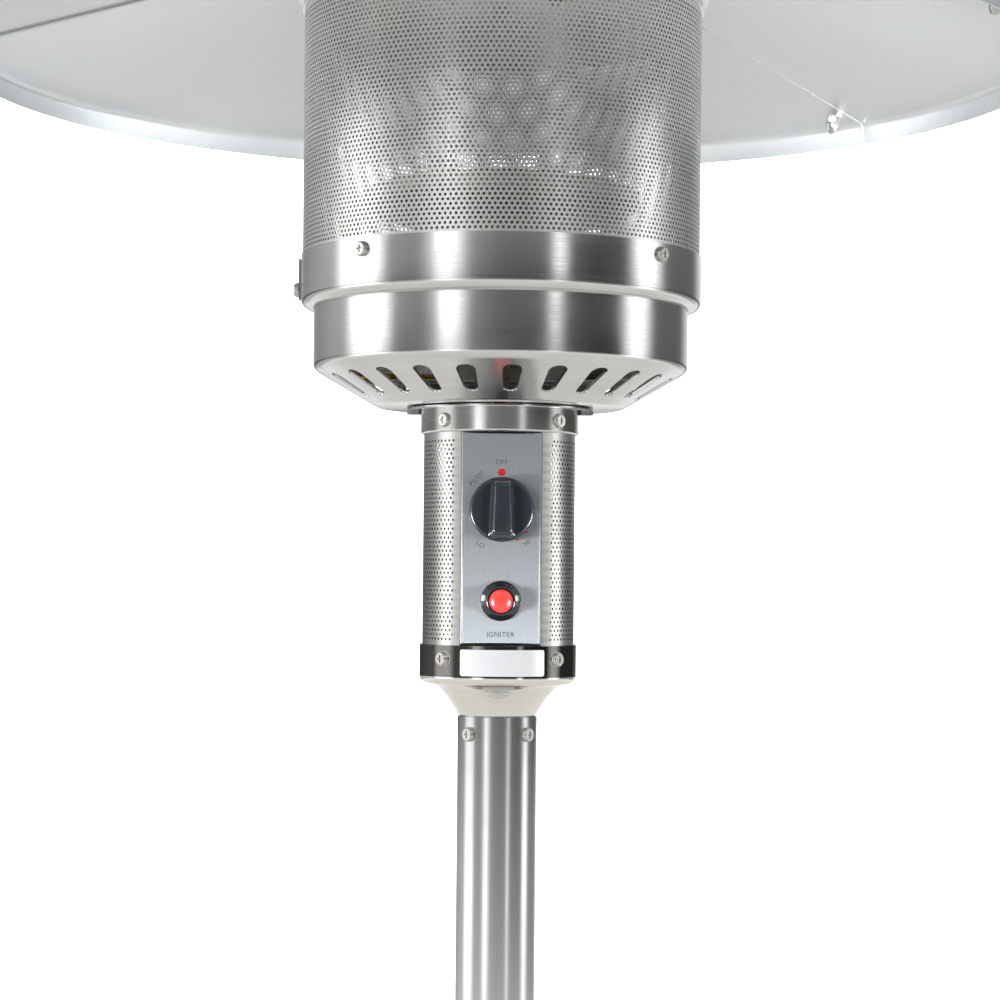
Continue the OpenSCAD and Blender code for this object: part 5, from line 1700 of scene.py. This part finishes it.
    def surround(self) -> None:
        """Makes the studio's surround: upright boards with a dark gap at the horizon and a grey ceiling."""
        world = bpy.data.worlds.new("studio")
        bpy.context.scene.world = world
        world.use_nodes = True
        tree = world.node_tree
        tree.nodes.clear()
        ray = add_node(tree, "ShaderNodeTexCoord").outputs["Generated"]
        axes = add_node(tree, "ShaderNodeSeparateXYZ", {0: ray})
        front = add_node(tree, "ShaderNodeMath", {0: axes.outputs["Y"], 1: -1.0}, operation="MULTIPLY")
        angle = add_node(tree, "ShaderNodeMath", {0: axes.outputs["X"], 1: front.outputs[0]},
                         operation="ARCTAN2")
        share = add_node(tree, "ShaderNodeMapRange",
                         {"Value": angle.outputs[0], "From Min": -math.pi, "From Max": math.pi})
        walls = add_node(tree, "ShaderNodeValToRGB", {0: share.outputs[0]})
        ramp = walls.color_ramp.elements
        ramp.remove(ramp[1])
        stops = [(turn, board.level) for board in self.boards for turn in (board.start, board.end)]
        for k, (turn, level) in enumerate(stops):
            stop = ramp.new((turn + 180) / 360) if k else ramp[0]
            shade = level / self.strength
            stop.position, stop.color = (turn + 180) / 360, (shade, shade, shade, 1)
        high, above, below, low = (
            add_node(tree, "ShaderNodeMapRange",
                     {"Value": axes.outputs["Z"], "From Min": start, "From Max": end, "To Min": least,
                      "To Max": most}).outputs[0]
            for (start, end), least, most in (
                (self.ceiling_fade, 0.0, 1.0), (self.gap_top, self.gap_light, 1.0),
                (self.gap_foot, self.gap_light, 1.0), (self.ground_fade, 0.0, self.ground_share)))
        open_share = add_node(tree, "ShaderNodeMath", {0: above, 1: below}, operation="MAXIMUM")
        lit = add_node(tree, "ShaderNodeVectorMath", {0: walls.outputs[0], "Scale": open_share.outputs[0]},
                       operation="SCALE")
        haze = add_node(tree, "ShaderNodeMix", {0: low, 6: lit.outputs[0], 7: linear(self.ground)},
                        data_type="RGBA")
        room = add_node(tree, "ShaderNodeMix", {0: high, 6: haze.outputs[2], 7: linear(self.ceiling)},
                        data_type="RGBA")
        seen = add_node(tree, "ShaderNodeLightPath").outputs["Is Camera Ray"]
        picture = add_node(tree, "ShaderNodeMix", {0: seen, 6: room.outputs[2], 7: linear("#FFFFFF")},
                           data_type="RGBA")
        sky = add_node(tree, "ShaderNodeBackground",
                       {"Color": picture.outputs[2], "Strength": self.strength})
        add_node(tree, "ShaderNodeOutputWorld", {"Surface": sky.outputs[0]})

    def floor(self) -> None:
        """Makes the pale floor, which fades into the white background."""
        mesh = bpy.data.meshes.new("floor")
        bm = bmesh.new()
        bmesh.ops.create_circle(bm, cap_ends=True, segments=128, radius=self.floor_r)
        bm.to_mesh(mesh)
        bm.free()
        paint = bpy.data.materials.new("pale_studio_floor")
        paint.use_nodes = True
        tree = paint.node_tree
        place = add_node(tree, "ShaderNodeTexCoord").outputs["Object"]
        reach = add_node(tree, "ShaderNodeVectorMath", {0: place}, operation="LENGTH")
        fade = add_node(tree, "ShaderNodeMapRange",
                        {"Value": reach.outputs["Value"], "From Min": self.floor_fade[0],
                         "From Max": self.floor_fade[1]}, interpolation_type="SMOOTHSTEP")
        skin = tree.nodes["Principled BSDF"]
        skin.inputs["Base Color"].default_value = linear("#F2EEE7")
        skin.inputs["Roughness"].default_value = 0.6
        white = add_node(tree, "ShaderNodeEmission", {"Color": linear("#FFFFFF")})
        mixed = add_node(tree, "ShaderNodeMixShader",
                         {0: fade.outputs[0], 1: skin.outputs[0], 2: white.outputs[0]})
        tree.links.new(mixed.outputs[0], tree.nodes["Material Output"].inputs["Surface"])
        mesh.materials.append(paint)
        made = add_object("floor", mesh)
        made.location.z = self.floor_z

    def light(self, lamp: Lamp) -> None:
        """Adds a lamp and links it to the pieces that it lights.

        Args:
            lamp: What the lamp is like.
        """
        data = bpy.data.lights.new(lamp.name, "AREA")
        data.shape, data.size, data.size_y, data.energy = "RECTANGLE", *lamp.size, lamp.power
        made = add_object(lamp.name, data)
        made.location = round_post(lamp.azimuth, self.lamp_distance, lamp.height)
        aim = Vector((0, 0, self.lamp_aim)) - made.location
        made.rotation_euler = aim.to_track_quat("-Z", "Y").to_euler()
        made.visible_camera = False
        lit = bpy.data.collections.new(lamp.name)
        for piece in lamp.pieces:
            lit.objects.link(bpy.data.objects[piece])
        made.light_linking.receiver_collection = lit


def main() -> None:
    """Builds the studio and every sub-assembly."""
    logging.basicConfig(level=logging.INFO, format="%(name)s: %(message)s")
    for part in (Reflector(), EmitterScreen(), BurnerHousing(), ControlColumn(), Controls(), Post(),
                 TankHousing(), Base(), InnerParts(), Studio()):
        part.build()


if __name__ == "__main__":
    main()
